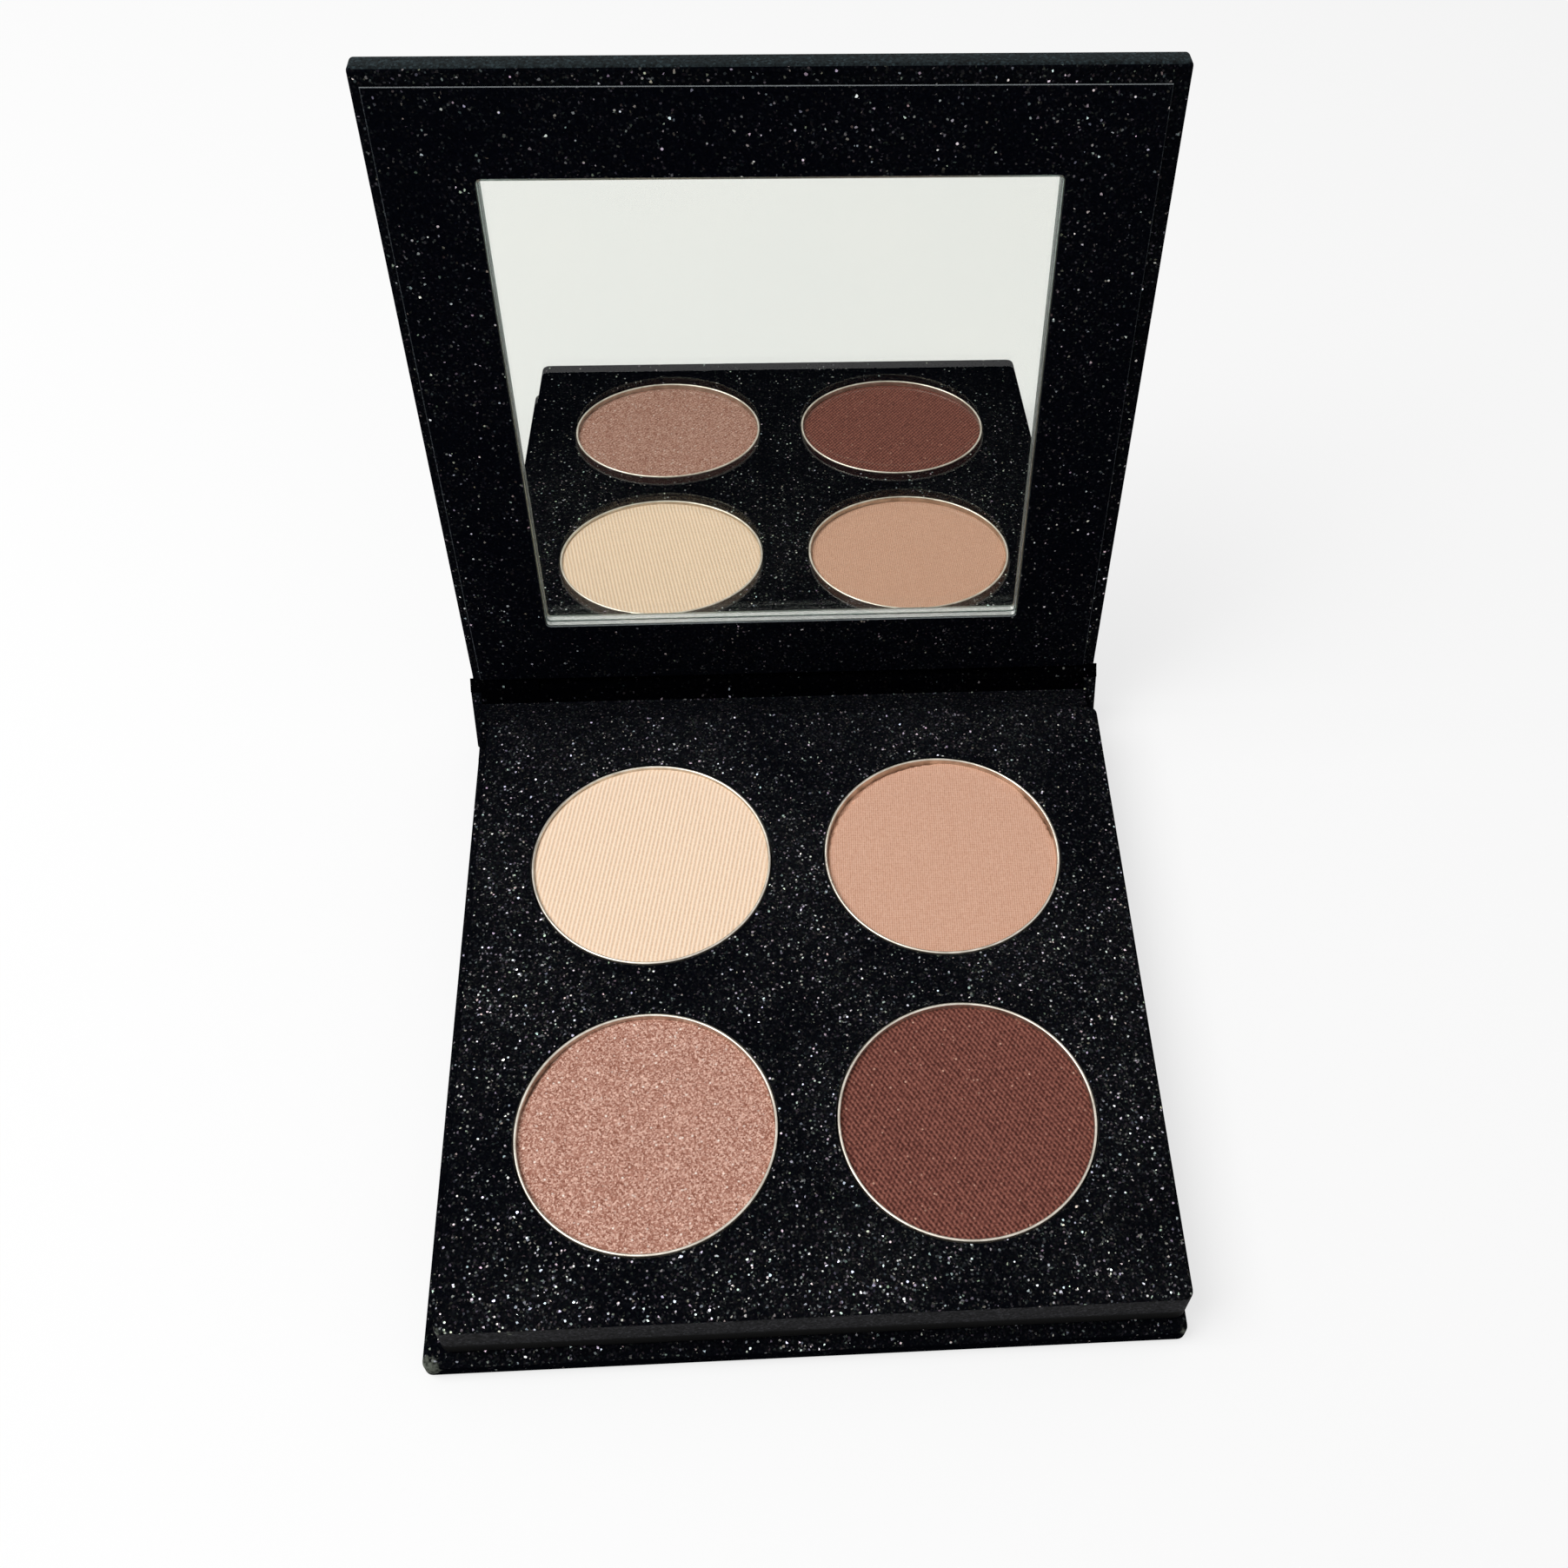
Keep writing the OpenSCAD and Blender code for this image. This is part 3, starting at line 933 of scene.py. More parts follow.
@dataclass(frozen=True)
class SilveredGlass:
    """The mirror's silvering: chemically laid silver behind float glass, faintly uneven."""

    name: str = "silvering"
    silver: str = "#EEEEEA"
    warm: str = "#F1F0EB"

    def build(self) -> Material:
        """Makes the material.

        Returns:
            The material.
        """
        coat = Coat(self.name, Metallic=1.0, Roughness=0.0)
        # Its tone drifts over some centimetres
        haze = coat.add("TexNoise", {"Vector": coat.place, "Scale": 0.04, "Detail": 2.0})
        return coat.paint(coat.grade(haze, (0.3, 0.7), self.silver, self.warm))


@dataclass(frozen=True)
class FloatGlass:
    """Float glass, 1.5 mm: clear on its faces, and frosted where the edge is ground."""

    name: str = "float_glass"
    tones: tuple[str, str] = ("#FBFDFC", "#FDFEFD")
    roughness: float = 0.0
    specular: float = 0.5

    def build(self) -> Material:
        """Makes the material.

        Returns:
            The material.
        """
        coat = Coat(
            self.name,
            IOR=1.52,
            Transmission_Weight=1.0,
            Roughness=self.roughness,
            Specular_IOR_Level=self.specular,
        )
        # Grinding grit of about 0.1 mm
        grit = coat.add("TexNoise", {"Vector": coat.place, "Scale": 6.0, "Detail": 3.0})
        return coat.paint(coat.grade(grit, (0.3, 0.7), *self.tones))


# --- Sheets across the folds --------------------------------------------------------------------


def lean_out(start: Point2, end: Point2, millimetres: float) -> Point2:
    """Finds the point that a bent sheet's middle line leans towards.

    Args:
        start: where the line starts.
        end: where it ends.
        millimetres: how far the point is off the middle, towards the palette's outside.

    Returns:
        The point.
    """
    way = Vector((end[0] - start[0], end[1] - start[1])).normalized() * millimetres
    return (start[0] + end[0]) / 2 + way.y, (start[1] + end[1]) / 2 - way.x


@dataclass
class CreaseSheet:
    """A sheet of paper that crosses a fold, bent as it lies with the lid open.

    Attributes:
        name: the piece's name.
        start: where its middle line starts, y and z in millimetres.
        lean: the point that the line leans towards.
        end: where it ends.
        width: its width along the fold.
        shift: how far its middle is off the palette's middle.
        bodies: the bodies before and after the fold; not used.
        node: the CAD node that it stands for.
        bend: how far from the leaning point the line starts to turn; it is straight before.
        steps: how many steps its bend has.
        straight_steps: how many steps a straight stretch has.
    """

    name: str
    start: Point2
    lean: Point2
    end: Point2
    width: float
    shift: float
    bodies: tuple[str, str]
    node: str = ""
    bend: float = 99.0
    steps: int = 24
    straight_steps: int = 8

    def line(self) -> list[Point2]:
        """Works out the sheet's middle line.

        Returns:
            Points from end to end.
        """
        a, c, b = Vector(self.start), Vector(self.lean), Vector(self.end)
        first = a.lerp(c, max(0.0, 1 - self.bend / (c - a).length))
        last = b.lerp(c, max(0.0, 1 - self.bend / (c - b).length))
        straight = [i / self.straight_steps for i in range(self.straight_steps)]
        points = [a.lerp(first, t) for t in straight] if (first - a).length > 0 else []
        for i in range(self.steps + 1):
            t = i / self.steps
            points.append((1 - t) ** 2 * first + 2 * t * (1 - t) * c + t * t * last)
        if (last - b).length > 0:
            points += [last.lerp(b, t) for t in straight[1:] + [1.0]]
        return [(p.x, p.y) for p in points]

    def build(self, *finishes: Material) -> Object:
        """Makes the sheet.

        Args:
            finishes: the sheet's face and, last, its cut edge.

        Returns:
            The piece.
        """
        line = self.line()
        start_clean()
        bpy.ops.mesh.primitive_plane_add(size=1, location=at(self.shift, *line[0]))
        piece = take_new(self.name)
        # One edge of the plane is kept, at the sheet's start, and is drawn along the line
        pick(piece, Pick.VERT, lambda v: v.co.y > line[0][0] * MM)
        bpy.ops.mesh.delete(type="VERT")
        bpy.ops.mesh.select_all(action="SELECT")
        bpy.ops.transform.translate(value=(0, 0.5, 0))
        scale_about((self.shift, 0, 0), self.width * MM, 1, 1)
        for (y0, z0), (y1, z1) in zip(line, line[1:]):
            extrude_by(0, y1 - y0, z1 - z0)
        start_clean()
        dress(piece, *finishes)
        add_modifier(piece, "SOLIDIFY", thickness=PAPER_T * MM, offset=0, use_even_offset=True)
        # Only the two sides are cut edges: the ends run on under the next sheet
        give_slot(piece, len(finishes) - 1, lambda f: abs(f.normal.x) > SQUARE_ON)
        close_up(piece)
        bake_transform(piece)
        if self.node:
            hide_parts(self.node)
        report(piece)
        return piece


# --- Sub-assemblies -----------------------------------------------------------------------------


@dataclass
class Cover:
    """A board's paper cover: what the covers of base, tray, spine and lid have in common."""

    edge_r: float = 0.5
    corner_r: float = 0.8
    turn_in: float = 8.0

    def soften(self, piece: Object, hinge_y: float, front_y: float, faces_z: Point2) -> None:
        """Rounds the front corners and the edges, but not the hinge edge.

        Args:
            piece: the box in edit mode.
            hinge_y: where the hinge edge is.
            front_y: where the opposite edge is.
            faces_z: the heights of its two faces.
        """
        pick(piece, Pick.EDGE, lambda e: runs_along(e, 2) and lies_at(e, 1, front_y))
        round_off(self.corner_r)
        pick(
            piece,
            Pick.EDGE,
            lambda e: any(lies_at(e, 2, z) for z in faces_z) and not lies_at(e, 1, hinge_y),
        )
        round_off(self.edge_r)

    def finish(
        self,
        piece: Object,
        body: str,
        node: str,
        opening: Sequence[Point3] = (),
        place: Matrix = Matrix(),
    ) -> None:
        """Turns a dressed box into a paper cover.

        Args:
            piece: the box, in object mode.
            body: the CAD body that it moves with.
            node: the CAD node that it stands for.
            opening: the corners of the gap between its turned-in flaps.
            place: where the open palette has it.
        """
        give_thickness(piece)
        if opening:
            cut_opening(piece, *opening)
        piece.data.transform(place)
        close_up(piece, outward=False)
        seat(piece, body, "glitter_paper", node)


@dataclass
class Base(Cover):
    """The base board in its glitter paper."""

    half_w: float = 36.5
    half_d: float = 36.5
    thick: float = 2.44

    def build(self, paper: Material) -> None:
        """Makes the cover with its turned-in flaps.

        Args:
            paper: the glitter paper.
        """
        w, d, top = self.half_w, self.half_d, self.thick
        cover = start_box("base_cover", (-w, -d, 0), (w, d, top))
        self.soften(cover, d, -d, (0, top))
        start_clean()
        dress(cover, paper)
        inner = w - self.turn_in
        low = (-inner, self.turn_in - d, top - 2 * PAPER_T)
        opening = (low, (inner, d + PAST, top + PAPER_T))
        self.finish(cover, "base", "base_wrap", opening)


@dataclass
class Tray(Cover):
    """The raised tray: a stack of board in paper, with four wells."""

    corner_r: float = 1.0
    low: Point3 = (-34.7, -35.2, 2.46)
    high: Point3 = (36.3, 36.4, 7.94)
    wells: tuple[Point2, ...] = ((-15.45, 16.2), (16.45, 16.2), (-15.45, -15.7), (16.45, -15.7))
    well_r: float = 13.15

    def build(self, top: Material, sides: Material, core: Material) -> None:
        """Makes the cover with its four holes and its turned-in flaps.

        Args:
            top: the sheet on the tray's face.
            sides: the sheet round its walls.
            core: the cut edge.
        """
        (x0, y0, z0), (x1, y1, z1) = self.low, self.high
        cover = start_box("tray_cover", self.low, self.high)
        pick(cover, Pick.EDGE, lambda e: runs_along(e, 2))
        round_off(self.corner_r)
        pick(
            cover,
            Pick.EDGE,
            lambda e: lies_at(e, 2, z0) or (lies_at(e, 2, z1) and not lies_at(e, 1, y1)),
        )
        round_off(self.edge_r, segments=4)
        # The face is cut out and filled again between its rim and the four holes
        pick(cover, Pick.FACE, lambda f: lies_at(f, 2, z1))
        bpy.ops.mesh.delete(type="ONLY_FACE")
        for x, y in self.wells:
            bpy.ops.mesh.primitive_circle_add(
                vertices=96, radius=self.well_r * MM, fill_type="NOTHING", location=at(x, y, z1)
            )
        pick(cover, Pick.EDGE, lambda e: lies_at(e, 2, z1) and len(e.link_faces) < 2)
        bpy.ops.mesh.fill(use_beauty=True)
        bpy.ops.mesh.select_all(action="SELECT")
        bpy.ops.mesh.normals_make_consistent(inside=False)
        start_clean()
        dress(cover, top, core, sides)
        # The walls' sheet starts low on the rounded upper edge
        give_slot(cover, 2, lambda f: f.center.z < (z1 - 0.8 * self.edge_r) * MM)
        low = (x0 + self.turn_in, y0 + self.turn_in, z0 - PAPER_T)
        opening = (low, (x1 - self.turn_in, y1 - self.turn_in, z0 + 2 * PAPER_T))
        self.finish(cover, "base", "tray_wrap", opening)


@dataclass
class Pan:
    """One pressed tin pan, drawn through its foot, wall and rolled lip."""

    radius: float = 13.0
    wall: float = 0.3
    foot_r: float = 0.8
    floor_z: float = 3.48
    lip_z: float = 8.06
    lip_r: float = 0.15

    def rings(self) -> list[Point2]:
        """Works out the pan's section.

        Returns:
            Radius and height from the underside, round the lip, to the inner floor.
        """
        inner_r = self.foot_r - self.wall
        foot = arc(self.radius - self.foot_r, self.floor_z + self.foot_r, self.foot_r, -90, 4)
        lip = arc(self.radius - self.lip_r, self.lip_z - self.lip_r, self.lip_r, 0, 8)
        inner_z = self.floor_z + self.wall + inner_r
        return foot + lip + arc(self.radius - self.wall - inner_r, inner_z, inner_r, 0, -4)

    def build(self, name: str, centre: Point2, tin: Material) -> Object:
        """Makes a pan.

        Args:
            name: the piece's name.
            centre: the pan's x and y.
            tin: its metal.

        Returns:
            The piece, not yet seated.
        """
        rings = self.rings()
        radius, z = rings[0]
        start_clean()
        bpy.ops.mesh.primitive_circle_add(
            vertices=128, radius=radius * MM, fill_type="NGON", location=at(*centre, z)
        )
        piece = take_new(name)
        bpy.ops.mesh.select_all(action="SELECT")
        draw_rings(centre, rings)
        dress(piece, tin)
        return close_up(piece)


@dataclass
class Cake:
    """One pressed powder cake, with the press's relief on its face and a crumbled rim.

    Attributes:
        centre: the pan's x and y.
        pressing: how its face was pressed.
        turn_deg: how the ribs are turned from the Y direction, clockwise.
        crumbs: for each crumbled stretch of rim, its bearing, half-width in degrees and depth.
        mesh: how many steps its face has across the ribs and along them.
        trim: how far inside the radius the steps end, before the rim is drawn out to it.
        edge: how far in its rim is rounded, and edge_drop how far the rim lies lower.
        rib: the spacing of its ribs, which end rib_rim from the rim and fade in over rib_fade.
        swell: the height of its slow unevenness, and ripple that of its fine one.
        crumb_depth: how deep a crumbled stretch is, and crumb_slope how wide its slope.
        skirt: the rim's first step down.
        foot: how high over the floor the wall turns in to the underside.
    """

    centre: Point2
    pressing: Pressing
    turn_deg: float = 0.0
    crumbs: tuple[Point3, ...] = ()
    mesh: tuple[int, int] = (171, 171)
    trim: float = 0.05
    radius: float = 12.68
    top_z: float = 7.46
    floor_z: float = 3.8
    edge: float = 0.12
    edge_drop: float = 0.1
    rib: float = 0.453
    rib_depth: float = 0.03
    rib_rim: float = 0.8
    rib_fade: float = 0.3
    swell: float = 0.02
    ripple: float = 0.006
    crumb_depth: float = 0.45
    crumb_slope: float = 0.25
    skirt: float = 0.1
    foot: float = 0.42
    foot_gap: float = 0.02
    foot_scale: float = 0.97

    def relief(self, x: float, y: float) -> float:
        """Works out how far the face lies off its plane.

        Args:
            x: across the ribs, from the middle, in millimetres.
            y: along the ribs.

        Returns:
            The height in millimetres.
        """
        out = math.hypot(x, y)
        rim = self.radius - out
        height = self.swell * noise.noise(Vector((x * 0.12, y * 0.12, self.centre[0])))
        height += self.ripple * noise.noise(Vector((x * 1.1, y * 1.1, self.centre[1])))
        if self.pressing is Pressing.RIBBED:
            inside = min(1.0, max(0.0, (rim - self.rib_rim) / self.rib_fade))
            height += inside * self.rib_depth / 2 * math.cos(2 * math.pi * x / self.rib)
        bearing = math.degrees(math.atan2(y, x)) - self.turn_deg
        for middle, half, depth in self.crumbs:
            off = abs((bearing - middle + 180) % 360 - 180) / half
            if off < 1:
                ragged = 0.5 + 0.5 * noise.noise(Vector((x * 1.7, y * 1.7, 3.1)))
                reach = depth * (1 - off * off) * (0.4 + 1.6 * ragged)
                if rim < reach:
                    height -= self.crumb_depth * min(1.0, (reach - rim) / self.crumb_slope)
        return height - self.edge_drop * max(0.0, 1 - rim / self.edge) ** 2

    def build(self, name: str, powder: Material) -> Object:
        """Makes the cake.

        Args:
            name: the piece's name.
            powder: its material.

        Returns:
            The piece, not yet seated.
        """
        start_clean()
        bpy.ops.mesh.primitive_grid_add(
            x_subdivisions=self.mesh[0],
            y_subdivisions=self.mesh[1],
            size=2 * self.radius * MM,
            location=at(0, 0, self.top_z),
        )
        piece = take_new(name)
        # What lies outside the circle goes, with its loose corners, and the rim is drawn out to it
        kept = (self.radius - self.trim) * MM
        pick(piece, Pick.VERT, lambda v: v.co.xy.length > kept)
        bpy.ops.mesh.delete(type="VERT")
        pick(piece, Pick.VERT, lambda v: len(v.link_edges) < 3)
        bpy.ops.mesh.delete(type="VERT")
        work = bmesh.from_edit_mesh(piece.data)
        for vert in work.verts:
            if vert.is_boundary:
                vert.co.xy = vert.co.xy.normalized() * self.radius * MM
            vert.co.z += self.relief(vert.co.x / MM, vert.co.y / MM) * MM
        bmesh.update_edit_mesh(piece.data)
        pick(piece, Pick.EDGE, lambda e: e.is_boundary)
        extrude_by(0, 0, -self.skirt)
        extrude_by(0, 0, self.floor_z + self.foot - (self.top_z - self.edge_drop - self.skirt))
        extrude_by(0, 0, self.foot_gap - self.foot)
        scale_about((0, 0, self.floor_z + self.foot_gap), self.foot_scale, self.foot_scale, 0)
        bpy.ops.mesh.edge_face_add()
        start_clean()
        turned = Matrix.Rotation(-math.radians(self.turn_deg), 4, "Z")
        piece.data.transform(Matrix.Translation(at(*self.centre, 0)) @ turned)
        dress(piece, powder)
        return close_up(piece, smooth_deg=50)


@dataclass
class Spine(Cover):
    """The spine board in its paper."""

    corner_r: float = 0.8
    half_w: float = 36.9
    near_y: float = 37.4
    far_y: float = 39.84
    foot_z: float = 1.2
    top_z: float = 8.54

    def build(self, paper: Material) -> None:
        """Makes the spine's cover, closed at its foot and top by the turned-in paper.

        Args:
            paper: the glitter paper.
        """
        low = (-self.half_w, self.near_y, self.foot_z)
        cover = start_box("spine_cover", low, (self.half_w, self.far_y, self.top_z))
        pick(cover, Pick.EDGE, lambda e: runs_along(e, 2))
        round_off(self.corner_r)
        start_clean()
        dress(cover, paper)
        self.finish(cover, "spine", "spine_wrap", place=SPINE_PLACE)


@dataclass
class Lid(Cover):
    """The lid: two boards in paper, the lining with its window, and the mirror."""

    edge_r: float = 0.4
    corner_r: float = 0.45
    turn_in: float = 7.9
    half_w: float = 36.5
    depth: float = 71.9
    wrap_z: float = 0.22
    top_z: float = LID_T
    bulges: tuple[tuple[float, Point3], ...] = (
        (-99.0, (0, -0.27, 0)),
        (0.0, (0, -0.2, 0)),
        (35.5, (0.3, 0, 0)),
    )
    liner_half_w: float = 35.4
    liner_shift: float = -0.2
    liner_front: float = 1.4
    liner_bevel: float = 0.1
    mirror_w: float = 53.4
    mirror_h: float = 53.9
    mirror_x: float = -0.3
    mirror_border: float = 8.1
    mirror_corner_r: float = 0.5
    window_gap: float = 0.1
    glass_z: Point2 = (0.06, 1.55)
    arris: float = 0.12

    def build_cover(self, paper: Material, rubbed: Material) -> None:
        """Makes the outer paper with its turned-in flaps.

        Args:
            paper: the sheet's face.
            rubbed: the plainer, lighter sheet along the opening edge: a painted highlight.
        """
        w, d = self.half_w, self.depth
        cover = start_box("lid_cover", (-w, -d, self.wrap_z), (w, 0, self.top_z))
        self.soften(cover, 0, -d, (self.wrap_z, self.top_z))
        # The turned-in paper stands off the opening edge, most at one corner
        front = (self.edge_r + self.corner_r - d) * MM
        for from_x, bulge in self.bulges:
            pick(cover, Pick.VERT, lambda v: v.co.y < front and v.co.x > from_x * MM)
            bpy.ops.transform.translate(value=at(*bulge))
        start_clean()
        dress(cover, paper, rubbed)
        # The opening edge faces up when the lid is open: its lighter sheet is a painted highlight
        give_slot(cover, 1, lambda f: f.normal.y < -0.7)
        inner = w - self.turn_in
        low = (-inner, self.turn_in - d, self.wrap_z - PAPER_T)
        opening = (low, (inner, PAST, self.wrap_z + 2 * PAPER_T))
        self.finish(cover, "lid", "lid_wrap", opening, LID_PLACE)

    def window(self, margin: float) -> tuple[Point2, Point2]:
        """Gives the mirror's outline, grown by a margin.

        Args:
            margin: how far it is grown, in millimetres.

        Returns:
            Two corners in the lid's frame.
        """
        reach, near_y = self.mirror_w / 2 + margin, margin - self.mirror_border
        far_y = -(self.mirror_border + self.mirror_h + margin)
        return (self.mirror_x - reach, far_y), (self.mirror_x + reach, near_y)

    def build_liner(self, paper: Material, core: Material, rubbed: Material) -> None:
        """Makes the lining sheet with its window.

        Args:
            paper: the sheet's face.
            core: its cut edge.
            rubbed: the lighter plain sheet drawn along its two sides.
        """
        sides = (self.liner_shift - self.liner_half_w, self.liner_shift + self.liner_half_w)
        start_clean()
        bpy.ops.mesh.primitive_plane_add(size=1)
        liner = take_new("lid_lining")
        bpy.ops.mesh.delete(type="VERT")
        add_plane((sides[0], self.liner_front - self.depth), (sides[1], 0))
        add_plane(*self.window(self.window_gap))
        round_off(self.mirror_corner_r + self.window_gap, 6, affect="VERTICES")
        bpy.ops.mesh.select_all(action="SELECT")
        bpy.ops.mesh.delete(type="ONLY_FACE")
        bpy.ops.mesh.select_all(action="SELECT")
        bpy.ops.mesh.fill(use_beauty=True)
        pick(liner, Pick.FACE, lambda f: f.normal.z > 0)
        bpy.ops.mesh.flip_normals()
        start_clean()
        dress(liner, paper, core, rubbed)
        give_thickness(liner, 1)
        # At the hinge the sheet runs on, so its end there is no cut edge
        give_slot(liner, 0, lambda f: abs(f.normal.y) > SQUARE_ON and near(f.center.y, 0))
        # Both sides stand proud of the cover, and are plainer there
        take_up(liner, edit=True)
        pick(
            liner,
            Pick.EDGE,
            lambda e: lies_at(e, 2, 0) and any(lies_at(e, 0, side) for side in sides),
        )
        round_off(self.liner_bevel, 1, material=2)
        start_clean()
        give_slot(liner, 2, lambda f: abs(f.normal.x) > SQUARE_ON)
        liner.data.transform(LID_PLACE)
        close_up(liner, outward=False)
        seat(liner, "lid", "glitter_paper", "lid_liner")

    def build_mirror(self, glass: Material, ground: Material) -> None:
        """Makes the glass with its seamed and ground edge.

        Args:
            glass: the polished faces.
            ground: the ground edge.
        """
        low, high = ((*corner, z) for corner, z in zip(self.window(0), self.glass_z))
        pane = start_box("mirror_pane", low, high)
        pick(pane, Pick.EDGE, lambda e: runs_along(e, 2))
        round_off(self.mirror_corner_r, 6)
        pick(pane, Pick.EDGE, lambda e: any(lies_at(e, 2, z) for z in self.glass_z))
        round_off(self.arris, 1)
        start_clean()
        dress(pane, glass, ground)
        give_slot(pane, 1, lambda f: abs(f.normal.z) < 0.99)
        pane.data.transform(LID_PLACE)
        close_up(pane)
        seat(pane, "lid", "mirror_glass", "mirror_glass")


# --- Studio -------------------------------------------------------------------------------------


@dataclass
class Studio:
    """A white sheet under soft light from the upper left, and the camera over the palette."""

    key_power: float = 3.5
    key_size: float = 0.42
    key_place: Point3 = (-330, -60, 560)
    fill: float = 0.38
    sheet_grey: float = 0.9
    sheet_glow: float = 0.7
    camera_place: Point3 = (-1.6928, -89.6547, 166.1198)
    camera_turn: float = 0.10411
    camera_dip: float = 0.95547
    camera_roll: float = 0.05546
    lens: float = 39.709
    shift: Point2 = (-0.061512, 0.01937)

    def build(self) -> None:
        """Sets the floor, the light and the camera."""
        self._floor()
        self._world()
        self._key()
        self._camera()
        bpy.context.scene.view_settings.view_transform = "Standard"

    def _seen(self, nodes: Nodes) -> Socket:
        """Tells rays that look at the background from rays that gather light.

        Args:
            nodes: the tree that is being filled.

        Returns:
            1 for camera, glossy and transmission rays, and 0 for the rest.
        """
        seen = nodes.add("LightPath", output="Is Camera Ray")
        rays = seen.node.outputs
        for kind in ("Is Glossy Ray", "Is Transmission Ray"):
            seen = nodes.add("Math", (seen, rays[kind]), operation="MAXIMUM")
        return seen

    def _floor(self) -> None:
        """Lays the white sheet. It glows in part where it is looked at, so its shadow is soft."""
        start_clean()
        bpy.ops.mesh.primitive_plane_add(size=6, location=at(0, 0, -0.2))
        floor = bpy.context.active_object
        floor.name = "floor"
        material = bpy.data.materials.new("white_sheet")
        material.use_nodes = True
        nodes = Nodes(material.node_tree)
        nodes.tree.nodes.remove(nodes.tree.nodes["Principled BSDF"])
        paper = nodes.add("BsdfDiffuse", {"Color": (*(self.sheet_grey,) * 3, 1)})
        white = nodes.add("Emission", {"Color": "#FFFFFF", "Strength": 1.0})
        share = nodes.add("Math", (self._seen(nodes), self.sheet_glow), operation="MULTIPLY")
        mixed = nodes.add("MixShader", (share, paper, white))
        feed(nodes.tree.nodes["Material Output"], {"Surface": mixed})
        dress(floor, material)

    def _world(self) -> None:
        """Surrounds the palette with soft light and shows white where it is looked at."""
        world = bpy.data.worlds.new("studio")
        bpy.context.scene.world = world
        world.use_nodes = True
        nodes = Nodes(world.node_tree)
        strength = nodes.add("MapRange", {0: self._seen(nodes), 3: self.fill, 4: 1.0})
        feed(nodes.tree.nodes["Background"], {"Color": "#FFFFFF", "Strength": strength})

    def _key(self) -> None:
        """Hangs the softbox."""
        data = bpy.data.lights.new("softbox", "AREA")
        data.shape = "SQUARE"
        data.size = self.key_size
        data.energy = self.key_power
        lamp = bpy.data.objects.new("softbox", data)
        place = at(*self.key_place)
        lamp.location = place
        lamp.rotation_euler = (-place).to_track_quat("-Z", "Y").to_euler()
        bpy.context.scene.collection.objects.link(lamp)

    def _camera(self) -> None:
        """Stands the camera over the open palette."""
        data = bpy.data.cameras.new("camera")
        data.sensor_width = 36
        data.lens = self.lens
        data.shift_x, data.shift_y = self.shift
        data.clip_start = 0.01
        az, el, roll = self.camera_turn, self.camera_dip, self.camera_roll
        ahead = Vector((math.sin(az) * math.cos(el), math.cos(az) * math.cos(el), -math.sin(el)))
        right = Vector((math.cos(az), -math.sin(az), 0))
        up = right.cross(ahead)
        rolled = math.cos(roll) * right + math.sin(roll) * up
        upright = -math.sin(roll) * right + math.cos(roll) * up
        turn = Matrix((rolled, upright, -ahead)).transposed()
        camera = bpy.data.objects.new("camera", data)
        camera.matrix_world = Matrix.Translation(at(*self.camera_place)) @ turn.to_4x4()
        bpy.context.scene.collection.objects.link(camera)
        bpy.context.scene.camera = camera


# --- The palette --------------------------------------------------------------------------------


# Paper rubbed through at the opening edge's corners: three spots on the base, three on the tray
CORNER_WEAR = (
    Wear((-36.0, -36.3, 1.8), 2.4),
    Wear((-36.3, -33.6, 2.4), 2.2, 0.45),
    Wear((36.0, -36.3, 2.0), 1.2, 0.7),
    Wear((-34.5, -35.1, 7.6), 1.5, 0.8),
    Wear((-33.5, -34.6, 7.9), 3.2, 0.3),
    Wear((-27.7, -35.2, 7.2), 1.2, 0.7),
)

# The boards, tapes, magnets and silvering keep their CAD shapes: finish, and nodes
HIDDEN = (
    (
        CutBoard("greyboard", "#8B8780", "#6E6A64"),
        "base_board tray_floor_card tray_lower_board tray_upper_board spine_board "
        "lid_back_board lid_frame_board",
    ),
    (CutBoard("tissue_tape", "#E9E5D8", "#D8D2C2", fibre=5.0), "pan_tape_discs mirror_tape"),
    (RolledMetal("bright_steel", "#B4B4B2", "#8E8D8A"), "tray_keeper_discs"),
    (RolledMetal("nickel_plate", "#C9C5BC", "#B0ABA0", 0.2), "lid_magnets"),
    (SilveredGlass(), "mirror_backing"),
)


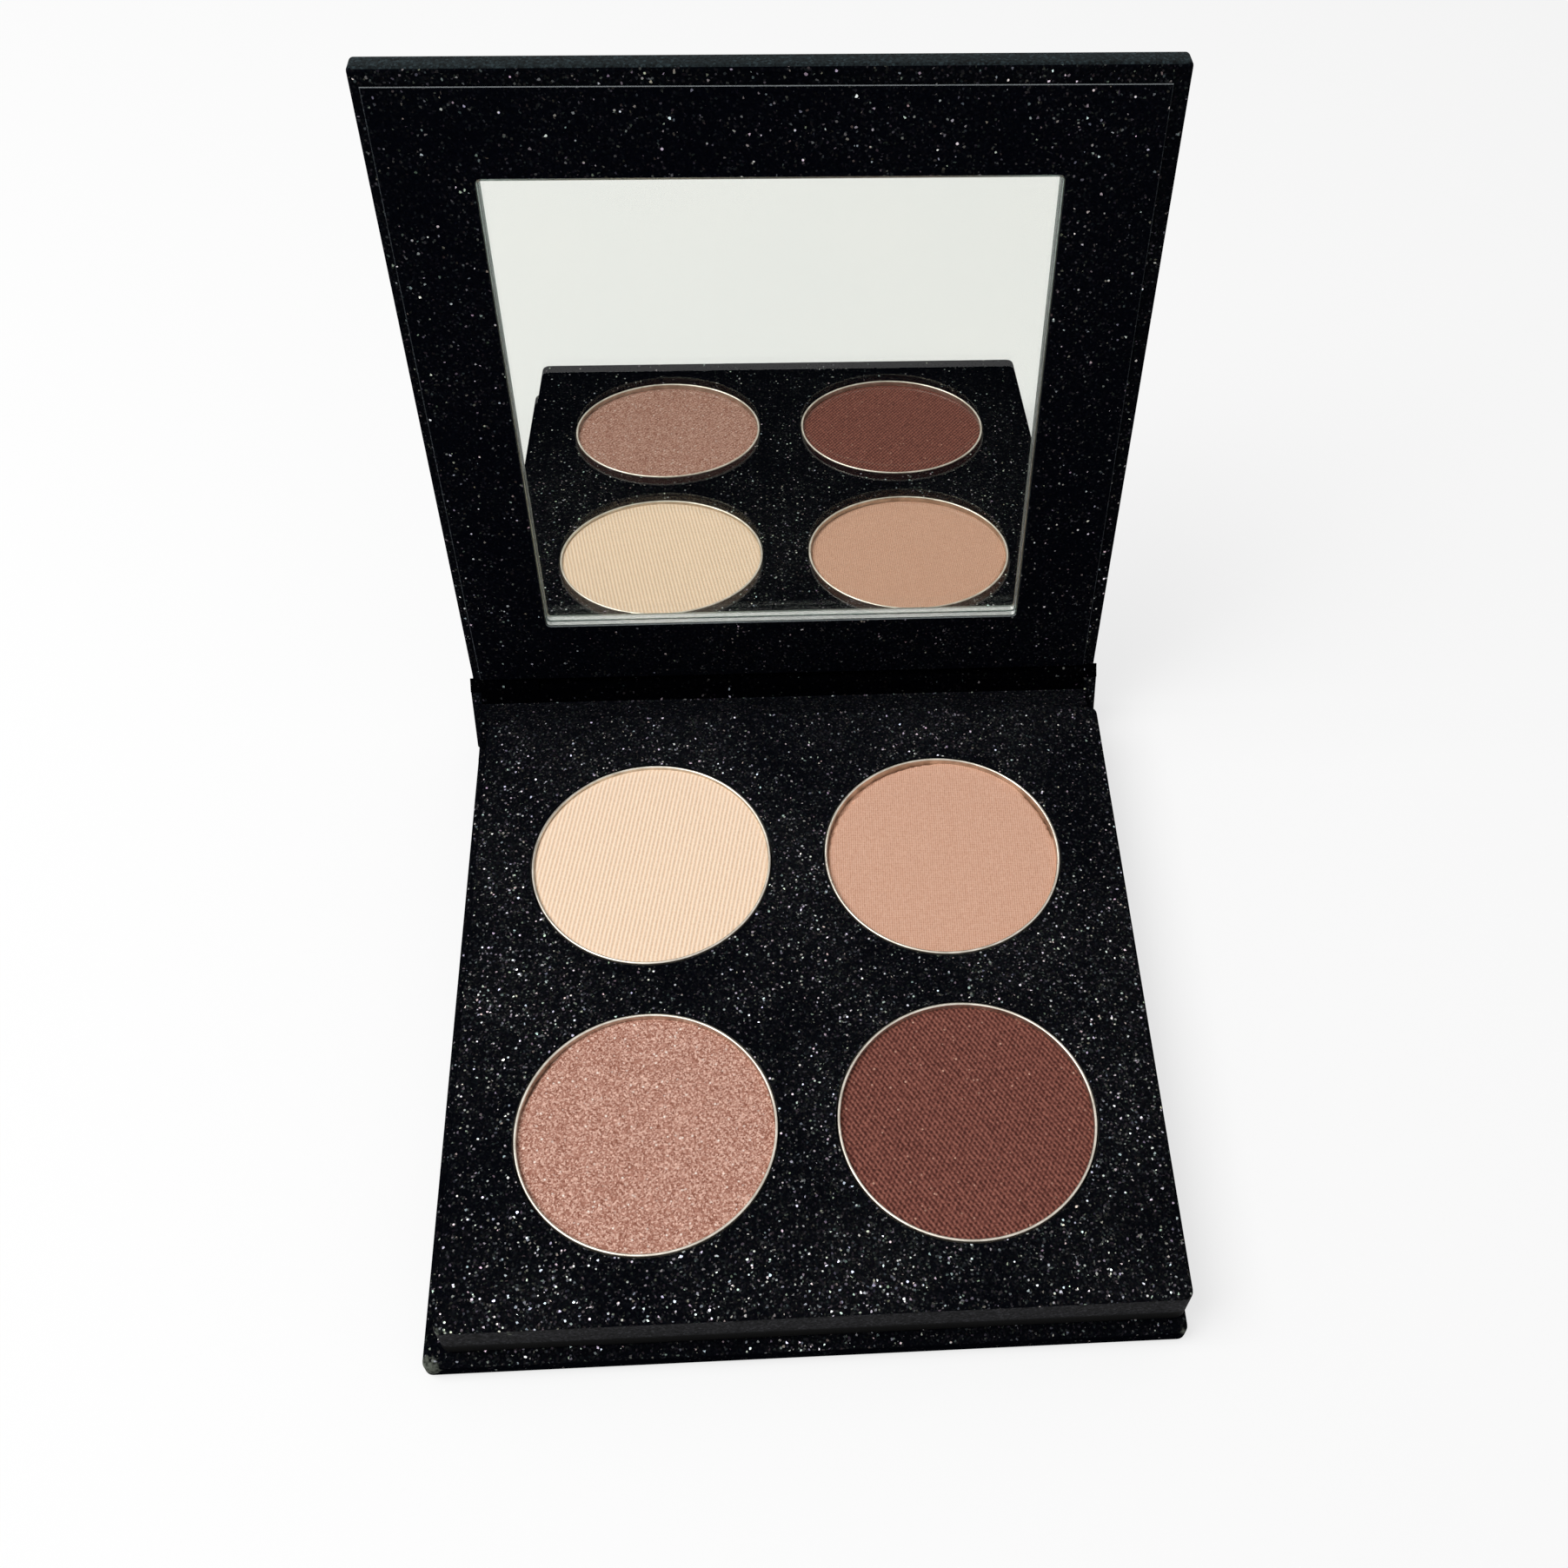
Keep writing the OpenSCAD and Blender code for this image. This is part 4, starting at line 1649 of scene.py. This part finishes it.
@dataclass
class Palette:
    """The whole palette, built from the base up.

    Attributes:
        gutter_fold: the point that the lining leans towards in the gutter.
        lid_fold_sink: how far the lining leans inwards at the lid's fold.
        upper_fold_bulge: how far the outer sheet leans outwards at the upper fold.
        gap: the space between a bent sheet's end and its board.
        hair: the space between two sheets' ends.
        flap_lean: how far the turned-in flaps lean off their middle.
        flap_inset: how far in from the spine's sides they lie.
    """

    base: Base = field(default_factory=Base)
    tray: Tray = field(default_factory=Tray)
    pan: Pan = field(default_factory=Pan)
    spine: Spine = field(default_factory=Spine)
    lid: Lid = field(default_factory=Lid)
    gutter_fold: Point2 = (39.45, 7.0)
    lid_fold_sink: float = 1.5
    upper_fold_bulge: float = 1.7
    gap: float = 0.06
    hair: float = 0.02
    flap_lean: Point2 = (0.25, 0.1)
    flap_inset: float = 0.1

    def build(self) -> None:
        """Makes every piece and dresses the CAD nodes that stay."""
        core = CutBoard("paper_core", "#A3A29C", "#7D7C78", fibre=8.0).build()
        lining_core = CutBoard("lining_core", "#83888A", "#565B5D", fibre=8.0).build()
        cover_paper = GlitterPaper("cover_glitter_paper", 0.0024, 0.022, wear=CORNER_WEAR).build()
        # Copies of one glitter paper, their flakes set by painted light and shade:
        # dimmer on the lid and the lining, near none in the crease, brightest on the tray
        shaded_lid_paper = GlitterPaper("lid_glitter_paper", 0.0016, 0.008).build()
        lit_tray_paper = GlitterPaper("tray_glitter_paper", 0.0036, 0.034, wear=CORNER_WEAR).build()
        lining = GlitterPaper("lining_glitter_paper", 0.001, 0.008, sheet="#030409").build()
        creased = GlitterPaper("creased_lining_paper", 0.0002, 0.001, sheet="#010102").build()
        # The tray wall's foot is near black: painted shade where it meets the base
        wall = PlainPaper("tray_wall_paper", foot_shade_heights=(4.2, 4.8), wear=CORNER_WEAR).build()
        # The lid's opening edge in a lighter plain sheet: painted highlight where it faces up
        edge = PlainPaper("rubbed_edge_paper", "#12181A").build()
        side = PlainPaper("rubbed_side_paper", "#1D2023").build()
        self.base.build(cover_paper)
        self.tray.build(lit_tray_paper, wall, core)
        self._pans()
        self._inner_folds(creased, lit_tray_paper, core)
        self._outer_folds(cover_paper, creased)
        self.spine.build(cover_paper)
        self.lid.build_cover(shaded_lid_paper, edge)
        self.lid.build_liner(lining, lining_core, side)
        ground = FloatGlass("ground_glass", ("#566F67", "#8DA59D"), 0.5, 0.2)
        self.lid.build_mirror(FloatGlass().build(), ground.build())
        for finish, nodes in HIDDEN:
            material = finish.build()
            for name in nodes.split():
                dress(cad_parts[name], material)
                LOG.info("node %s: %s", name, material.name)

    def _pans(self) -> None:
        """Makes the four pans and their cakes."""
        tin = RolledMetal("tinplate", "#D9D2C6", "#B5ADA0").build()
        wells = self.tray.wells
        # Each row is a well's corner, its shade, how it was pressed, and its cake
        rows = (
            (
                "back_left",
                PressedPowder(
                    *("cream_powder", "#F8DCC0", "#FDE8D2", "#E2BC9A", wells[0], Pressing.RIBBED),
                    period=0.453,
                    turn_deg=10,
                    contrast=0.95,
                ),
                {
                    "turn_deg": 10.0,
                    "top_z": 7.76,
                    "mesh": (281, 121),
                    "rib_depth": 0.045,
                    "rib_rim": 0.3,
                },
            ),
            (
                "back_right",
                PressedPowder(
                    *("tan_powder", "#D6A68D", "#E6C2AB", "#B07C60", wells[1], Pressing.LINED),
                    period=0.24,
                    turn_deg=1,
                    cross=0.25,
                    contrast=0.9,
                ),
                {"crumbs": ((138, 52, 0.5), (25, 20, 0.2))},
            ),
            (
                "front_left",
                PressedPowder(
                    *("mauve_powder", "#B88573", "#F0CDBC", "#84503F", wells[2], Pressing.SATIN),
                    period=0.5,
                    turn_deg=-40,
                    grain=0.35,
                    low_angle=0.72,
                    pearl=0.9,
                    glints=0.16,
                ),
                {"crumbs": ((150, 20, 0.15),)},
            ),
            (
                "front_right",
                PressedPowder(
                    *("maroon_powder", "#6C3D34", "#9A6254", "#3B1A15", wells[3], Pressing.LINEN),
                    period=0.44,
                    turn_deg=-35,
                    cross=0.4,
                    cross_deg=58,
                    contrast=0.9,
                    grain=1.0,
                    glints=0.06,
                    glint_tone="#C99C88",
                ),
                {},
            ),
        )
        (x0, y0), first = wells[0], self.pan.build("tin_" + rows[0][0], wells[0], tin)
        tins = [first]
        for (corner, _, _), (x, y) in zip(rows[1:], wells[1:]):
            tins.append(copy_piece(first, "tin_" + corner, (x - x0, y - y0, 0)))
        for tin_pan, well, (corner, powder, press) in zip(tins, wells, rows):
            seat(tin_pan, "base", "tinplate", "pan_" + corner)
            shade = powder.name.split("_")[0]
            piece = Cake(well, powder.pressing, **press).build("cake_" + shade, powder.build())
            seat(piece, "base", powder.name, "powder_" + shade)

    def _inner_folds(self, lining: Material, lit_lining: Material, core: Material) -> None:
        """Makes the lining where it crosses the folds.

        Args:
            lining: the lining sheet where it is creased, near black there: painted shade.
            lit_lining: the same sheet where it leaves the tray, brighter there: painted light.
            core: the cut edge.
        """
        gap, half = self.gap, PAPER_T / 2
        spine_y, spine_z = self.spine.near_y - gap - half, self.spine.top_z + gap
        sheet = (2 * self.lid.liner_half_w, self.lid.liner_shift)
        # The two sheets' ends meet a hair apart
        gutter = CreaseSheet(
            "lining_gutter",
            (self.tray.high[1] + self.hair, self.tray.high[2] - half),
            self.gutter_fold,
            carried(SPINE_PLACE, spine_y, spine_z),
            *sheet,
            ("base", "spine"),
            "liner_tray_crease",
            bend=0.25,
        ).build(lining, lit_lining, core)
        # Before the fold it takes the tray's brighter copy, painted light; past it, painted shade
        fold_y = self.gutter_fold[0] * MM
        give_slot(gutter, 1, lambda f: f.material_index == 0 and f.center.y < fold_y)
        start = carried(SPINE_PLACE, spine_y, spine_z + self.hair)
        end = carried(LID_FOLD_PLACE, LID_HINGE[0] + gap / 2, LID_HINGE[1] + half)
        # The paper is long enough to lie flat when the lid is shut, so it sinks in when it is open
        lean = lean_out(start, end, self.lid_fold_sink)
        CreaseSheet(
            "lining_lid_fold", start, lean, end, *sheet, ("spine", "lid"), "liner_lid_crease"
        ).build(lining, core)

    def _outer_folds(self, paper: Material, lining: Material) -> None:
        """Makes the outer sheet where it crosses the folds, and its turned-in flaps.

        Args:
            paper: the outer sheet.
            lining: the lining sheet where it is creased, near black there: painted shade.
        """
        gap, half, spine = self.gap, PAPER_T / 2, self.spine
        hinge_y, hinge_z = LID_HINGE
        start = (self.base.half_d + gap, half)
        end = carried(SPINE_PLACE, spine.far_y - half, spine.foot_z - gap)
        lean = (end[0] - (end[1] - start[1]) * math.tan(math.radians(LEAN_DEG)), start[1])
        sheet = (2 * spine.half_w, 0)
        CreaseSheet(
            "outer_lower_fold", start, lean, end, *sheet, ("base", "spine"), "lower_crease_paper"
        ).build(paper)
        start = carried(SPINE_PLACE, spine.far_y - half, spine.top_z + gap + half)
        end = carried(LID_FOLD_PLACE, hinge_y + gap + half, hinge_z + LID_T - half)
        lean = lean_out(start, end, self.upper_fold_bulge)
        CreaseSheet(
            "outer_upper_fold", start, lean, end, *sheet, ("spine", "lid"), "upper_crease_paper"
        ).build(paper)
        # The same sheet's turned-in flaps cross the fold on the inside, under the lining
        start = carried(SPINE_PLACE, spine.near_y + half, spine.top_z + gap)
        end = carried(LID_FOLD_PLACE, hinge_y + gap, hinge_z + self.lid.wrap_z + half)
        lean = tuple((a + b) / 2 + off for a, b, off in zip(start, end, self.flap_lean))
        width = self.lid.turn_in
        for side, way in (("left", -1), ("right", 1)):
            shift = way * (spine.half_w - self.flap_inset - width / 2)
            CreaseSheet(
                "turned_flap_" + side, start, lean, end, width, shift, ("spine", "lid")
            ).build(lining)


def main() -> None:
    """Builds the palette and its studio."""
    logging.basicConfig(level=logging.INFO, format="%(name)s: %(message)s")
    Palette().build()
    Studio().build()


if __name__ == "__main__":
    main()
